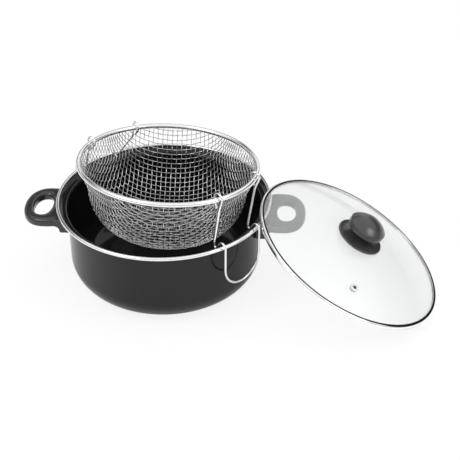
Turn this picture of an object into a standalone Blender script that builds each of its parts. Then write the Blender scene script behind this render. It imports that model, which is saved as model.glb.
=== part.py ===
# Frying pot: enamelled steel pot with two finger-loop handles, glass lid leaning on its rim,
# and a wire basket that hangs raised above the oil on two wire bails hooked over the rim.
# Units are metres, +Z is up, and the origin is the centre of the pot's underside.
# +X points to the right-hand side of the pot, where the lid leans.

import bpy
import bmesh
from math import acos, asin, atan2, copysign, cos, degrees, hypot, pi, radians, sin, sqrt, tan
from mathutils import Matrix, Vector

for old in list(bpy.data.objects):
    bpy.data.objects.remove(old, do_unlink=True)

# Fits shared by all pieces
GAP = 0.0003                    # between pieces that touch
OVERRUN = 0.002                 # how far a cutter runs past the face that it cuts
RING_STEPS = 48                 # flats round a large turned piece
KNOB_STEPS = 28                 # flats round a small one
SCREW_STEPS = 14                # flats round a screw
BEAD_CHECKS = 720               # places where the lid's fit on the bead is measured
MERGE = 0.000001                # corners nearer than this are one

# Pot: one deep-drawn steel shell
RIM_RADIUS = 0.129              # outside of the bead
POT_HEIGHT = 0.106              # table to the top of the bead
RIM_STEP = 0.0127               # how far the bead stands out from the straight wall
SHEET = 0.0012
BASE_BEND = 0.033               # outer radius of the bottom corner
LEDGE_DROP = 0.0066             # bead top down to the seat that carries the lid
LEDGE_INSET = 0.0064            # outside of the bead in to the ledge's outer edge
LEDGE_WIDTH = 0.004
LEDGE_NECK = 0.0057             # height over which the ledge runs back into the wall
NECK_SHARES = ((0.18, 0.5), (0.5, 0.86))    # how far out and how far up the neck's bends are

# Bright bead clipped over the shell's raw edge
BEAD_RADIUS = 0.0021
BEAD_SLOT_SHARE = 0.1           # how far below its centre the bead's slot ends
BEAD_STEPS = 14

# Handles: moulded finger loops on a welded bracket
HANDLE_AZIMUTH = radians(-2.5)
HANDLE_LENGTH = 0.0537          # wall to the tip of the loop
HANDLE_WIDTH = 0.074
HANDLE_THICKNESS = 0.0115
HANDLE_TOP_DROP = 0.0155        # bead top down to the top of the loop
HANDLE_TIP_LENGTH = 0.028       # from the widest place to the tip
HOLE_LENGTH = 0.022             # radial
HOLE_WIDTH = 0.044
TIP_ARM = 0.012                 # material between the hole and the tip
APRON_WIDTH = 0.0715            # along the wall
APRON_DEPTH = 0.0115            # radial
APRON_DROP = 0.0187             # top of the loop down to the apron's lower edge
APRON_EDGE = 0.0012             # bevel of the apron's edges
GUSSET = 0.0055                 # fillet between the apron and the loop
APRON_STEPS = 10
LOOP_STEPS = 40
LOOP_SECTION_STEPS = 14
TONGUE_LENGTH = 0.015
TONGUE_WIDTH = 0.018
TONGUE_THICKNESS = 0.002
TONGUE_DROP = 0.0045            # top of the loop down to the tongue
FLANGE_HEIGHT = 0.007           # of the bracket's welded foot
FLANGE_THICKNESS = 0.0012
HANDLE_SCREW_RADIUS = 0.0018
HANDLE_SCREW_HEAD_RADIUS = 0.0034
HANDLE_SCREW_HEAD = 0.0024
HANDLE_SCREW_PLACE = 0.0062     # wall out to the screw

# Lid: tempered glass dome in a steel ring
LID_ROOM = 0.0016               # between the ring and the ledge's outer edge when the pot is shut
LID_LIP = 0.0008                # sheet of the ring
LID_LIP_WIDTH = 0.0042
GLASS = 0.0035
DOME_RISE = 0.0205              # top of the ring up to the top of the glass
LID_AZIMUTH = radians(-7.5)
LEG_ROOM = 0.0008               # between the leaning ring and the right bail
LID_SIDE = -0.0147              # how far the lid's centre lies beside the line that it leans along
GLASS_SHARES = (0.2, 0.4, 0.6, 0.75, 0.88, 1.0)     # rings of corners on the dome
VENT_INSET = 0.037              # ring's outside in to the vent
VENT_AZIMUTH = radians(-88)
VENT_BORE = 0.0017
VENT_FLANGE_RADIUS = 0.0043
VENT_FLANGE = 0.0009
VENT_TUBE = 0.0011

# Knob and what clamps it to the glass
KNOB_RADIUS = 0.0228
KNOB_TOP = 0.0495               # above the ring
KNOB_UNDERSIDE = 0.032
KNOB_EDGE = 0.008
STEM_RADIUS = 0.0115
SKIRT_RADIUS = 0.0285
SKIRT_EDGE = 0.0024
SKIRT_RISE = 0.0042             # from its edge up to the stem
SKIRT_SHARES = (0.25, 0.5, 0.75, 1.0)
CROWN_SHARES = (0.95, 0.82, 0.6, 0.35)
NECK_RADIUS_SHARE = 0.9
CAP_EDGE_SHARES = ((0.88, 0.0), (0.98, 0.25), (1.0, 0.6))   # out and up round the cap's lower edge
GLASS_BORE = 0.0032
KNOB_SCREW_RADIUS = 0.0021
KNOB_SCREW_HEAD_RADIUS = 0.0048
KNOB_SCREW_HEAD = 0.0028
KNOB_SCREW_LENGTH = 0.0235
WASHER_RADIUS = 0.009
WASHER = 0.0009
GASKET_RADIUS = 0.0105
GASKET = 0.0012
INSERT_RADIUS = 0.0042
INSERT_LENGTH = 0.011

# Basket: woven wire bowl on a tubular rim
BASKET_ROOM = 0.0072            # between the rim tube and the pot's wall when the basket is lowered
TUBE_RADIUS = 0.003
BASKET_DEPTH = 0.086            # middle of the tube down to the bottom
BOWL_INSET = 0.0017             # middle of the tube in to the bowl's top edge
BOWL_TAPER = 0.0114             # middle of the tube in to where the side turns into the bottom bend
BOWL_BEND = 0.054
BOWL_SHELL = 0.001
BOWL_PITCH = 0.0172             # between the grid's bars
BOWL_BAR_SHARE = 0.15           # of a cell that its bars take
BOWL_BAND = 0.0045              # plain edge under the rim tube
BOWL_LIP_SHARES = (0.6, 1.9)    # where the side turns up to the tube, of the tube's radius and of the top's drop
CLOSED_CELL_SHARE = 0.3         # cells that the edge cuts smaller than this stay closed
BOWL_STEPS = 24                 # flats of the line that the grid is laid on
SOLVE_STEPS = 40
BASKET_PLACE = Vector((0.0067, -0.0007, 0.1526))
BASKET_LEAN = radians(5.6)
BASKET_LEAN_AZIMUTH = radians(57)

# Bails: one bent wire each, two eyes on the rim tube and two step hooks over the pot's rim
WIRE_RADIUS = 0.0013
RIGHT_EYES_AZIMUTH = radians(-35.8)
RIGHT_HOOKS_AZIMUTH = radians(-44.3)
LEFT_EYES_AZIMUTH = radians(136.3)
LEFT_HOOKS_AZIMUTH = radians(137.3)
EYE_SPREAD = radians(19.2)      # half the angle between the two eyes of a bail
HOOK_SPAN = 0.0545
EYE_TAIL = 0.013                # rim tube down to where the eye closes
EYE_LIFT = 0.0017               # the tube sits this far below the middle of the eye's bow
EYE_CLEARANCE = 0.0006
EYE_END_SHARE = 0.78            # how far down its strand the wire's free end stops
CREST_RISE = 0.0055             # bead top up to the middle of the wire over it
CREST_BEND = 0.0046
CURL_BEND = 0.0022
HOOK_SLOPE = radians(55)
HOOK_OFFSET = 0.003             # wire's clearance outside the bead
HOOK_RUN = 0.0045               # upright stretch of the leg above the curl
LOOP_BOTTOM = 0.056             # bead top down to the bottom of the outer loop, a half circle
BEND_STEPS = 7

# Colours as linear RGB, with roughness and metallic value
ENAMEL = ((0.012, 0.012, 0.013), 0.06, 0.0)
CHROME = ((0.80, 0.80, 0.81), 0.10, 1.0)
STEEL = ((0.62, 0.62, 0.63), 0.24, 1.0)
BAKELITE = ((0.020, 0.020, 0.022), 0.38, 0.0)
CLEAR_GLASS = ((0.90, 0.92, 0.92), 0.02, 0.0)
BRASS = ((0.60, 0.42, 0.17), 0.30, 1.0)
SILICONE = ((0.50, 0.50, 0.49), 0.60, 0.0)

WALL_RADIUS = RIM_RADIUS - RIM_STEP
LEDGE_OUTER_RADIUS = RIM_RADIUS - LEDGE_INSET
LEDGE_INNER_RADIUS = LEDGE_OUTER_RADIUS - LEDGE_WIDTH
LID_RADIUS = LEDGE_OUTER_RADIUS - LID_ROOM
BASKET_RADIUS = WALL_RADIUS - SHEET - BASKET_ROOM - TUBE_RADIUS
BOWL_TOP_RADIUS = BASKET_RADIUS - BOWL_INSET
BOWL_SHOULDER_RADIUS = BASKET_RADIUS - BOWL_TAPER
BEAD_Z = POT_HEIGHT - BEAD_RADIUS
BEAD_MIDDLE = RIM_RADIUS - BEAD_RADIUS
LEDGE_Z = POT_HEIGHT - LEDGE_DROP
HANDLE_TOP = POT_HEIGHT - HANDLE_TOP_DROP
HANDLE_BOTTOM = HANDLE_TOP - HANDLE_THICKNESS
HANDLE_REACH = WALL_RADIUS + HANDLE_LENGTH
VENT_PLACE = LID_RADIUS - VENT_INSET
RING_HEIGHT = 2 * LID_LIP + GLASS + 2 * GAP


def material(name, look):
    colour, roughness, metallic = look
    made = bpy.data.materials.new(name)
    made.use_nodes = True
    shader = made.node_tree.nodes["Principled BSDF"]
    shader.inputs["Base Color"].default_value = (*colour, 1.0)
    shader.inputs["Roughness"].default_value = roughness
    shader.inputs["Metallic"].default_value = metallic
    return made


def finish(obj, look, parent):
    obj.data.materials.append(material(obj.name + "_finish", look))
    obj.parent = parent
    return obj


def add_object(name, data):
    obj = bpy.data.objects.new(name, data)
    bpy.context.scene.collection.objects.link(obj)
    return obj


def frame(name, place, turn=None):
    """An empty that carries the pieces of one sub-assembly."""
    empty = add_object(name, None)
    empty.matrix_world = Matrix.Translation(place) @ (turn or Matrix()).to_4x4()
    return empty


def mesh_object(name, bm):
    bmesh.ops.recalc_face_normals(bm, faces=bm.faces)
    mesh = bpy.data.meshes.new(name)
    bm.to_mesh(mesh)
    bm.free()
    mesh.shade_smooth()
    mesh.set_sharp_from_angle(angle=radians(40))
    return add_object(name, mesh)


def turned(name, profile, steps, closed=True, sweep=2 * pi, start=0.0):
    """Spins a profile of (radius, height) points about Z; an open one ends on the axis."""
    bm = bmesh.new()
    verts = [bm.verts.new((r * cos(start), r * sin(start), z)) for r, z in profile]
    edges = [bm.edges.new(pair) for pair in zip(verts, verts[1:])]
    if closed:
        edges.append(bm.edges.new((verts[-1], verts[0])))
    full = sweep >= 2 * pi
    if not full:
        bm.faces.new(verts)
    bmesh.ops.spin(bm, geom=verts + edges, axis=(0, 0, 1), cent=(0, 0, 0),
                   angle=sweep, steps=steps, use_merge=full)
    if not full:
        bmesh.ops.holes_fill(bm, edges=[e for e in bm.edges if e.is_boundary])
    bmesh.ops.remove_doubles(bm, verts=bm.verts, dist=MERGE)
    return mesh_object(name, bm)


def sheet_profile(line, thickness, side=0.5):
    """Gives a line of (radius, height) points its thickness; side is the share of it to the left."""
    left, right = [], []
    for i, (r, z) in enumerate(line):
        before, after = line[max(i - 1, 0)], line[min(i + 1, len(line) - 1)]
        along = Vector((after[0] - before[0], after[1] - before[1])).normalized()
        across = Vector((-along.y, along.x))
        if r == 0:
            across = Vector((0, across.y)).normalized()
        left.append((r + across.x * thickness * side, z + across.y * thickness * side))
        right.append((r - across.x * thickness * (1 - side), z - across.y * thickness * (1 - side)))
    return left + right[::-1]


def arc(centre, radius, start, end, steps):
    """Points of an arc in the plane of a profile, angles in radians."""
    turns = [start + (end - start) * i / steps for i in range(steps + 1)]
    return [(centre[0] + radius * cos(a), centre[1] + radius * sin(a)) for a in turns]


def cutter(obj, parent=None):
    obj.hide_render = True
    obj.display_type = "WIRE"
    obj.parent = parent
    return obj


def boolean(obj, other, operation):
    step = obj.modifiers.new(operation.lower() + "_" + other.name, "BOOLEAN")
    step.operation = operation
    step.object = other
    step.solver = "EXACT"


def block(name, low, high):
    """A box between two corners, as a cutter or a plain flat piece."""
    bm = bmesh.new()
    bmesh.ops.create_cube(bm, size=1)
    middle = (Vector(low) + Vector(high)) / 2
    for vert in bm.verts:
        vert.co = Vector(a * (h - l) for a, l, h in zip(vert.co, low, high)) + middle
    return mesh_object(name, bm)


def pot_line():
    """Middle of the pot's sheet, from the axis out and up to the raw edge inside the bead."""
    half = SHEET / 2
    wall = WALL_RADIUS - half
    bend = BASE_BEND - half
    line = [(0, half)]
    line += arc((wall - bend, half + bend), bend, -pi / 2, 0, 6)
    neck = LEDGE_Z - half - LEDGE_NECK
    rise = LEDGE_INNER_RADIUS - wall
    line += [(wall, neck)] + [(wall + rise * out, neck + LEDGE_NECK * up) for out, up in NECK_SHARES]
    line += [(LEDGE_INNER_RADIUS, LEDGE_Z - half)]
    line += [(LEDGE_OUTER_RADIUS, LEDGE_Z - half)]
    slot_top = BEAD_Z - BEAD_RADIUS * BEAD_SLOT_SHARE
    mouth = BEAD_Z - BEAD_RADIUS
    line += [(BEAD_MIDDLE, mouth), (BEAD_MIDDLE, slot_top - GAP)]
    return line


def make_pot(parent):
    profile = sheet_profile(pot_line(), SHEET)
    shell = turned("pot_body", profile, RING_STEPS, closed=False)
    return finish(shell, ENAMEL, parent)


def make_bead(parent):
    half_slot = SHEET / 2 + GAP
    mouth = acos(half_slot / BEAD_RADIUS)
    slot_top = BEAD_Z - BEAD_RADIUS * BEAD_SLOT_SHARE
    profile = arc((BEAD_MIDDLE, BEAD_Z), BEAD_RADIUS, -mouth, pi + mouth, BEAD_STEPS)
    profile += [(BEAD_MIDDLE - half_slot, slot_top), (BEAD_MIDDLE + half_slot, slot_top)]
    return finish(turned("rim_band", profile, RING_STEPS), CHROME, parent)


def superellipse(angle, length, width, power):
    """A point of a rounded oblong; a higher power makes it squarer."""
    c, s = cos(angle), sin(angle)
    return (length * abs(c) ** (2 / power) * (1 if c >= 0 else -1),
            width * abs(s) ** (2 / power) * (1 if s >= 0 else -1))


HOLE_MIDDLE = HANDLE_REACH - TIP_ARM - HOLE_LENGTH / 2
WALL_SEAT = WALL_RADIUS + GAP
APRON_RADIUS = WALL_SEAT + APRON_DEPTH


def make_loop(name):
    """The finger loop: a rounded section swept round the hole, out to the handle's outline."""
    widest = HANDLE_REACH - HANDLE_TIP_LENGTH
    root = widest - (WALL_SEAT + APRON_DEPTH / 2)
    bm = bmesh.new()
    rings = []
    for i in range(LOOP_STEPS):
        angle = 2 * pi * i / LOOP_STEPS
        tip_side = cos(angle) >= 0
        length, power = (HANDLE_TIP_LENGTH, 2.25) if tip_side else (root, 5.0)
        x, y = superellipse(angle, length, HANDLE_WIDTH / 2, power)
        outer = Vector((widest + x, y))
        x, y = superellipse(angle, HOLE_LENGTH / 2, HOLE_WIDTH / 2, 2.2)
        inner = Vector((HOLE_MIDDLE + x, y))
        middle, half = (outer + inner) / 2, (outer - inner) / 2
        ring = []
        for j in range(LOOP_SECTION_STEPS):
            across, up = superellipse(2 * pi * (j + 0.5) / LOOP_SECTION_STEPS, 1, 1, 3.2)
            flat = middle + half * across
            height = (HANDLE_TOP + HANDLE_BOTTOM) / 2 + up * HANDLE_THICKNESS / 2
            ring.append(bm.verts.new((flat.x, flat.y, height)))
        rings.append(ring)
    for ring, after in zip(rings, rings[1:] + rings[:1]):
        for j in range(LOOP_SECTION_STEPS):
            k = (j + 1) % LOOP_SECTION_STEPS
            bm.faces.new((ring[j], ring[k], after[k], after[j]))
    return mesh_object(name, bm)


def make_apron(name, parent):
    """The part of the handle that follows the wall, with a fillet up to the loop and flat ends."""
    low = HANDLE_TOP - APRON_DROP
    edge = APRON_EDGE
    top = HANDLE_TOP - edge / 2
    profile = [(WALL_SEAT, low), (APRON_RADIUS - edge, low), (APRON_RADIUS, low + edge)]
    profile += arc((APRON_RADIUS + GUSSET, HANDLE_BOTTOM + edge - GUSSET), GUSSET, pi, pi / 2, 4)
    profile += [(APRON_RADIUS + GUSSET, top - edge), (APRON_RADIUS, top), (WALL_SEAT, top)]
    half = APRON_WIDTH / 2
    angle = asin((half + OVERRUN) / WALL_SEAT)
    apron = turned(name, profile, APRON_STEPS, sweep=2 * angle, start=-angle)
    out = APRON_RADIUS + GUSSET + OVERRUN
    ends = cutter(block(name + "_ends", (0, -half, low - OVERRUN), (out, half, top + OVERRUN)), parent)
    boolean(apron, ends, "INTERSECT")
    return cutter(apron, parent)


def make_handle(side, parent):
    """One handle and its bracket and screw, in the handle's own frame: +X points outwards."""
    handle = make_loop("handle_" + side)
    boolean(handle, make_apron("apron_" + side, parent), "UNION")
    tongue_top = HANDLE_TOP - TONGUE_DROP
    tongue_low = tongue_top - TONGUE_THICKNESS
    screw_at = WALL_RADIUS + HANDLE_SCREW_PLACE
    flange_top = tongue_top + (FLANGE_HEIGHT - TONGUE_THICKNESS) / 2
    flange_low = flange_top - FLANGE_HEIGHT
    half = TONGUE_WIDTH / 2
    weld = sqrt(WALL_SEAT ** 2 - half ** 2)
    reach = WALL_SEAT + TONGUE_LENGTH
    over = OVERRUN
    bracket = block("handle_bracket_" + side, (WALL_SEAT, -half, tongue_low), (reach, half, tongue_top))
    foot = cutter(block("foot_" + side, (WALL_SEAT, -half, flange_low),
                        (WALL_SEAT + FLANGE_THICKNESS, half, flange_top)), parent)
    boolean(bracket, foot, "UNION")
    bore = cutter(turned("bracket_bore_" + side,
                         [(0, tongue_low - over), (HANDLE_SCREW_RADIUS + GAP, tongue_low - over),
                          (HANDLE_SCREW_RADIUS + GAP, tongue_top + over), (0, tongue_top + over)],
                         SCREW_STEPS, closed=False), parent)
    bore.location.x = screw_at
    boolean(bracket, bore, "DIFFERENCE")
    slot = cutter(block("slot_" + side, (weld - over, -half - GAP, tongue_low - GAP),
                        (reach + GAP, half + GAP, tongue_top + GAP)), parent)
    boolean(handle, slot, "DIFFERENCE")
    recess = cutter(block("recess_" + side, (weld - over, -half - GAP, flange_low - GAP),
                          (WALL_SEAT + FLANGE_THICKNESS + GAP, half + GAP, flange_top + GAP)), parent)
    boolean(handle, recess, "DIFFERENCE")
    head_low = HANDLE_BOTTOM + GAP
    head_top = head_low + HANDLE_SCREW_HEAD
    low = HANDLE_TOP - APRON_DROP - over
    shank = HANDLE_SCREW_RADIUS + GAP
    head = HANDLE_SCREW_HEAD_RADIUS + GAP
    well = cutter(turned("screw_well_" + side,
                         [(0, low), (head, low), (head, head_top + GAP), (shank, head_top + GAP),
                          (shank, tongue_top + GAP), (0, tongue_top + GAP)],
                         SCREW_STEPS, closed=False), parent)
    well.location.x = screw_at
    boolean(handle, well, "DIFFERENCE")
    screw = turned("handle_screw_" + side,
                   [(0, head_low), (HANDLE_SCREW_HEAD_RADIUS, head_low),
                    (HANDLE_SCREW_HEAD_RADIUS, head_top), (HANDLE_SCREW_RADIUS, head_top),
                    (HANDLE_SCREW_RADIUS, tongue_top), (0, tongue_top)],
                   SCREW_STEPS, closed=False)
    screw.location.x = screw_at
    finish(handle, BAKELITE, parent)
    finish(bracket, STEEL, parent)
    finish(screw, STEEL, parent)


def dome_height(radius):
    """Height of the glass's upper side above the top of the ring, at a radius."""
    flat = LID_RADIUS - LID_LIP_WIDTH
    low = -LID_LIP - GAP
    rise = DOME_RISE - low
    ball = (flat ** 2 + rise ** 2) / (2 * rise)
    if radius >= flat:
        return low
    return DOME_RISE - ball + sqrt(ball ** 2 - radius ** 2)


def vent_matrix():
    """The vent's place on the glass, square to its surface."""
    slope = (dome_height(VENT_PLACE + VENT_BORE) - dome_height(VENT_PLACE - VENT_BORE)) / (2 * VENT_BORE)
    place = Vector((VENT_PLACE, 0, dome_height(VENT_PLACE)))
    tilt = Matrix.Rotation(-atan2(slope, 1), 4, "Y")
    return Matrix.Rotation(VENT_AZIMUTH, 4, "Z") @ Matrix.Translation(place) @ tilt


def make_glass(parent):
    flat = LID_RADIUS - LID_LIP_WIDTH
    edge = LID_RADIUS - LID_LIP - GAP
    radii = [GLASS_BORE] + [flat * share for share in GLASS_SHARES]
    upper = [(r, dome_height(r)) for r in radii] + [(edge, dome_height(edge))]
    lower = [(r, z - GLASS) for r, z in upper]
    glass = turned("lid_glass", upper + lower[::-1], RING_STEPS)
    over = OVERRUN + GLASS
    bore = VENT_BORE + VENT_TUBE + GAP
    hole = cutter(turned("vent_hole", [(0, -over), (bore, -over), (bore, over), (0, over)],
                         SCREW_STEPS, closed=False), parent)
    hole.matrix_local = vent_matrix()
    boolean(glass, hole, "DIFFERENCE")
    return finish(glass, CLEAR_GLASS, parent)


def make_lid_ring(parent):
    """Steel channel rolled round the edge of the glass."""
    inner = LID_RADIUS - LID_LIP_WIDTH
    web = LID_RADIUS - LID_LIP
    soft = LID_LIP / 2
    low = -RING_HEIGHT
    profile = [(inner, 0), (LID_RADIUS - soft, 0), (LID_RADIUS, -soft), (LID_RADIUS, low + soft),
               (LID_RADIUS - soft, low), (inner, low), (inner, low + LID_LIP), (web, low + LID_LIP),
               (web, -LID_LIP), (inner, -LID_LIP)]
    return finish(turned("lid_rim", profile, RING_STEPS), CHROME, parent)


def make_vent(parent):
    """Steel eyelet riveted through the glass."""
    low = -GLASS - GAP
    tube = VENT_BORE + VENT_TUBE
    soft = VENT_FLANGE / 3
    profile = [(VENT_BORE, VENT_FLANGE), (VENT_FLANGE_RADIUS - soft, VENT_FLANGE),
               (VENT_FLANGE_RADIUS, VENT_FLANGE - soft), (VENT_FLANGE_RADIUS, GAP), (tube, GAP),
               (tube, low), (VENT_FLANGE_RADIUS, low), (VENT_FLANGE_RADIUS, low - VENT_FLANGE + soft),
               (VENT_FLANGE_RADIUS - soft, low - VENT_FLANGE), (VENT_BORE, low - VENT_FLANGE)]
    eyelet = turned("vent_grommet", profile, SCREW_STEPS)
    finish(eyelet, STEEL, parent)
    eyelet.matrix_local = vent_matrix()


def make_knob(parent):
    """Knob, skirt, threaded insert, screw, washer and gasket, one above the other on the lid's axis."""
    skirt_low = dome_height(SKIRT_RADIUS) + 2 * GAP
    skirt_top = skirt_low + SKIRT_EDGE + SKIRT_RISE
    seat = DOME_RISE + GAP
    soft = SKIRT_EDGE / 3
    bore = KNOB_SCREW_RADIUS + GAP
    bow = [(SKIRT_RADIUS + (STEM_RADIUS - SKIRT_RADIUS) * share,
            skirt_low + SKIRT_EDGE + SKIRT_RISE * share ** 2) for share in SKIRT_SHARES]
    skirt = [(bore, seat), (STEM_RADIUS, seat), (SKIRT_RADIUS - soft, skirt_low),
             (SKIRT_RADIUS, skirt_low + soft), (SKIRT_RADIUS, skirt_low + SKIRT_EDGE - soft),
             (SKIRT_RADIUS - soft, skirt_low + SKIRT_EDGE)] + bow + [(bore, skirt_top)]
    finish(turned("knob_base", skirt, KNOB_STEPS), BAKELITE, parent)

    foot = skirt_top + GAP
    well = foot + INSERT_LENGTH + 2 * GAP
    neck = STEM_RADIUS * NECK_RADIUS_SHARE
    shoulder = KNOB_UNDERSIDE + KNOB_EDGE
    crown = [(KNOB_RADIUS * share, KNOB_TOP - (KNOB_TOP - shoulder) * share ** 2.6)
             for share in CROWN_SHARES]
    knob = [(0, well), (INSERT_RADIUS + GAP, well), (INSERT_RADIUS + GAP, foot), (STEM_RADIUS, foot),
            (neck, (foot + KNOB_UNDERSIDE) / 2), (STEM_RADIUS, KNOB_UNDERSIDE - GAP)]
    knob += [(KNOB_RADIUS * out, KNOB_UNDERSIDE + KNOB_EDGE * up) for out, up in CAP_EDGE_SHARES]
    knob += crown + [(0, KNOB_TOP)]
    finish(turned("knob", knob, KNOB_STEPS, closed=False), BAKELITE, parent)

    sleeve = [(bore, foot + GAP), (INSERT_RADIUS, foot + GAP),
              (INSERT_RADIUS, foot + INSERT_LENGTH), (bore, foot + INSERT_LENGTH)]
    finish(turned("knob_insert", sleeve, SCREW_STEPS), BRASS, parent)

    under = DOME_RISE - GLASS - GAP
    gasket = [(bore, under - GASKET), (GASKET_RADIUS, under - GASKET), (GASKET_RADIUS, under - GAP),
              (bore, under)]
    finish(turned("knob_gasket", gasket, KNOB_STEPS), SILICONE, parent)
    top = under - GASKET - GAP
    washer = [(bore, top - WASHER), (WASHER_RADIUS, top - WASHER), (WASHER_RADIUS, top), (bore, top)]
    finish(turned("knob_washer", washer, KNOB_STEPS), STEEL, parent)

    head = top - WASHER - GAP
    round_off = KNOB_SCREW_HEAD / 3
    screw = [(0, head - KNOB_SCREW_HEAD), (KNOB_SCREW_HEAD_RADIUS * 0.6, head - KNOB_SCREW_HEAD + round_off / 2),
             (KNOB_SCREW_HEAD_RADIUS, head - round_off), (KNOB_SCREW_HEAD_RADIUS, head),
             (KNOB_SCREW_RADIUS, head), (KNOB_SCREW_RADIUS, head + KNOB_SCREW_LENGTH),
             (0, head + KNOB_SCREW_LENGTH)]
    finish(turned("knob_screw", screw, SCREW_STEPS, closed=False), STEEL, parent)


def lid_matrix(tilt, reach):
    """Where the lid lies when it leans by tilt, with the lower edge of its ring on the table."""
    height = LID_RADIUS * sin(tilt) + RING_HEIGHT * cos(tilt)
    place = Matrix.Rotation(LID_AZIMUTH, 4, "Z") @ Vector((reach, LID_SIDE, height))
    axis = Matrix.Rotation(LID_AZIMUTH, 4, "Z") @ Vector((0, 1, 0))
    return Matrix.Translation(place) @ Matrix.Rotation(tilt, 4, axis) @ Matrix.Rotation(LID_AZIMUTH, 4, "Z")


def halved(low, high, fine, enough):
    """The least value between low and high that is enough."""
    while high - low > fine:
        middle = (low + high) / 2
        if enough(middle):
            high = middle
        else:
            low = middle
    return high


def rim_clearance(tilt, reach):
    """Least distance between the underside of the lid's ring and the pot's bead."""
    into_lid = lid_matrix(tilt, reach).inverted()
    gaps = []
    for i in range(BEAD_CHECKS):
        a = 2 * pi * i / BEAD_CHECKS
        point = into_lid @ Vector((BEAD_MIDDLE * cos(a), BEAD_MIDDLE * sin(a), BEAD_Z))
        away = hypot(point.x, point.y)
        across = max(LID_RADIUS - LID_LIP_WIDTH - away, 0, away - LID_RADIUS)
        gaps.append(hypot(across, max(-RING_HEIGHT - point.z, 0)) - BEAD_RADIUS)
    return min(gaps)


def lid_tilt(reach):
    """The lean at which the ring rests on the bead."""
    return halved(radians(10), radians(60), radians(0.001), lambda tilt: rim_clearance(tilt, reach) >= GAP)


def leg_clearance(reach):
    """Least distance between the lid's ring, leaning on the bead, and the right bail's near hook."""
    into_lid = lid_matrix(lid_tilt(reach), reach).inverted()
    gaps = []
    for place in hook_points(RIGHT_HOOKS_AZIMUTH, 1):
        point = into_lid @ place
        up = max(point.z, 0, -RING_HEIGHT - point.z)
        gaps.append(hypot(max(hypot(point.x, point.y) - LID_RADIUS, 0), up) - WIRE_RADIUS)
    return min(gaps)


def lid_place():
    """The lid leans as near to the pot as the right bail lets it."""
    reach = halved(RIM_RADIUS, RIM_RADIUS + LID_RADIUS, GAP / 10, lambda r: leg_clearance(r) >= LEG_ROOM)
    return lid_matrix(lid_tilt(reach), reach)


BASKET_TURN = Matrix.Rotation(
    BASKET_LEAN, 4, Vector((-sin(BASKET_LEAN_AZIMUTH), cos(BASKET_LEAN_AZIMUTH), 0)))
BASKET_MATRIX = Matrix.Translation(BASKET_PLACE) @ BASKET_TURN


def rim_point(azimuth, radius=BASKET_RADIUS):
    return BASKET_MATRIX @ Vector((radius * cos(azimuth), radius * sin(azimuth), 0))


def bowl_line():
    """Middle of the woven bowl, from the axis out and up to just under the rim tube."""
    top = -(TUBE_RADIUS + GAP)
    bend = BOWL_BEND
    line = [(0, -BASKET_DEPTH)]
    line += arc((BOWL_SHOULDER_RADIUS - bend, bend - BASKET_DEPTH), bend, -pi / 2, 0, BOWL_STEPS)
    in_share, down_share = BOWL_LIP_SHARES
    return line + [(BOWL_TOP_RADIUS - TUBE_RADIUS * in_share, top * down_share), (BOWL_TOP_RADIUS, top)]


BOWL_LINE = bowl_line()
BOWL_LENGTHS = [0.0]
for (near_r, near_z), (far_r, far_z) in zip(BOWL_LINE, BOWL_LINE[1:]):
    BOWL_LENGTHS.append(BOWL_LENGTHS[-1] + hypot(far_r - near_r, far_z - near_z))


def bowl_radius(height):
    """Radius of the bowl's line at a height below the rim tube's middle."""
    for (near_r, near_z), (far_r, far_z) in zip(BOWL_LINE, BOWL_LINE[1:]):
        if near_z < far_z and height <= far_z:
            return near_r + (far_r - near_r) * (height - near_z) / (far_z - near_z)
    return BOWL_TOP_RADIUS


def on_line(length):
    """Radius, height and slopes at a length along the bowl's line, which runs straight on past its end."""
    i = 0
    while i < len(BOWL_LENGTHS) - 2 and BOWL_LENGTHS[i + 1] <= length:
        i += 1
    (near_r, near_z), (far_r, far_z) = BOWL_LINE[i], BOWL_LINE[i + 1]
    span = BOWL_LENGTHS[i + 1] - BOWL_LENGTHS[i]
    slope_r, slope_z = (far_r - near_r) / span, (far_z - near_z) / span
    past = length - BOWL_LENGTHS[i]
    return near_r + slope_r * past, near_z + slope_z * past, slope_r, slope_z


def on_bowl(spot, lift=0.0):
    """A spot is a pair whose length is measured along the bowl's line; lift is off its surface."""
    length = max(hypot(*spot), MERGE)
    r, z, slope_r, slope_z = on_line(length)
    r, z = r + slope_z * lift, z - slope_r * lift
    return Vector((spot[0] / length * r, spot[1] / length * r, z))


def crossing(left, below, corner):
    """Where two bars of a cell cross: one pitch from both neighbours, found by Newton's steps."""
    p, q = on_bowl(left), on_bowl(below)
    a, b = left[0] + below[0] - corner[0], left[1] + below[1] - corner[1]
    step = MERGE
    for _ in range(SOLVE_STEPS):
        here, by_a, by_b = on_bowl((a, b)), on_bowl((a + step, b)), on_bowl((a, b + step))
        miss_p, miss_q = (here - p).length - BOWL_PITCH, (here - q).length - BOWL_PITCH
        pa, pb = ((by_a - p).length - (here - p).length) / step, ((by_b - p).length - (here - p).length) / step
        qa, qb = ((by_a - q).length - (here - q).length) / step, ((by_b - q).length - (here - q).length) / step
        share = pa * qb - pb * qa
        if abs(miss_p) + abs(miss_q) < MERGE / 10 or share == 0:
            break
        longest = BOWL_PITCH / 2
        a -= max(-longest, min(longest, (miss_p * qb - miss_q * pb) / share))
        b -= max(-longest, min(longest, (miss_q * pa - miss_p * qa) / share))
    return a, b


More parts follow.
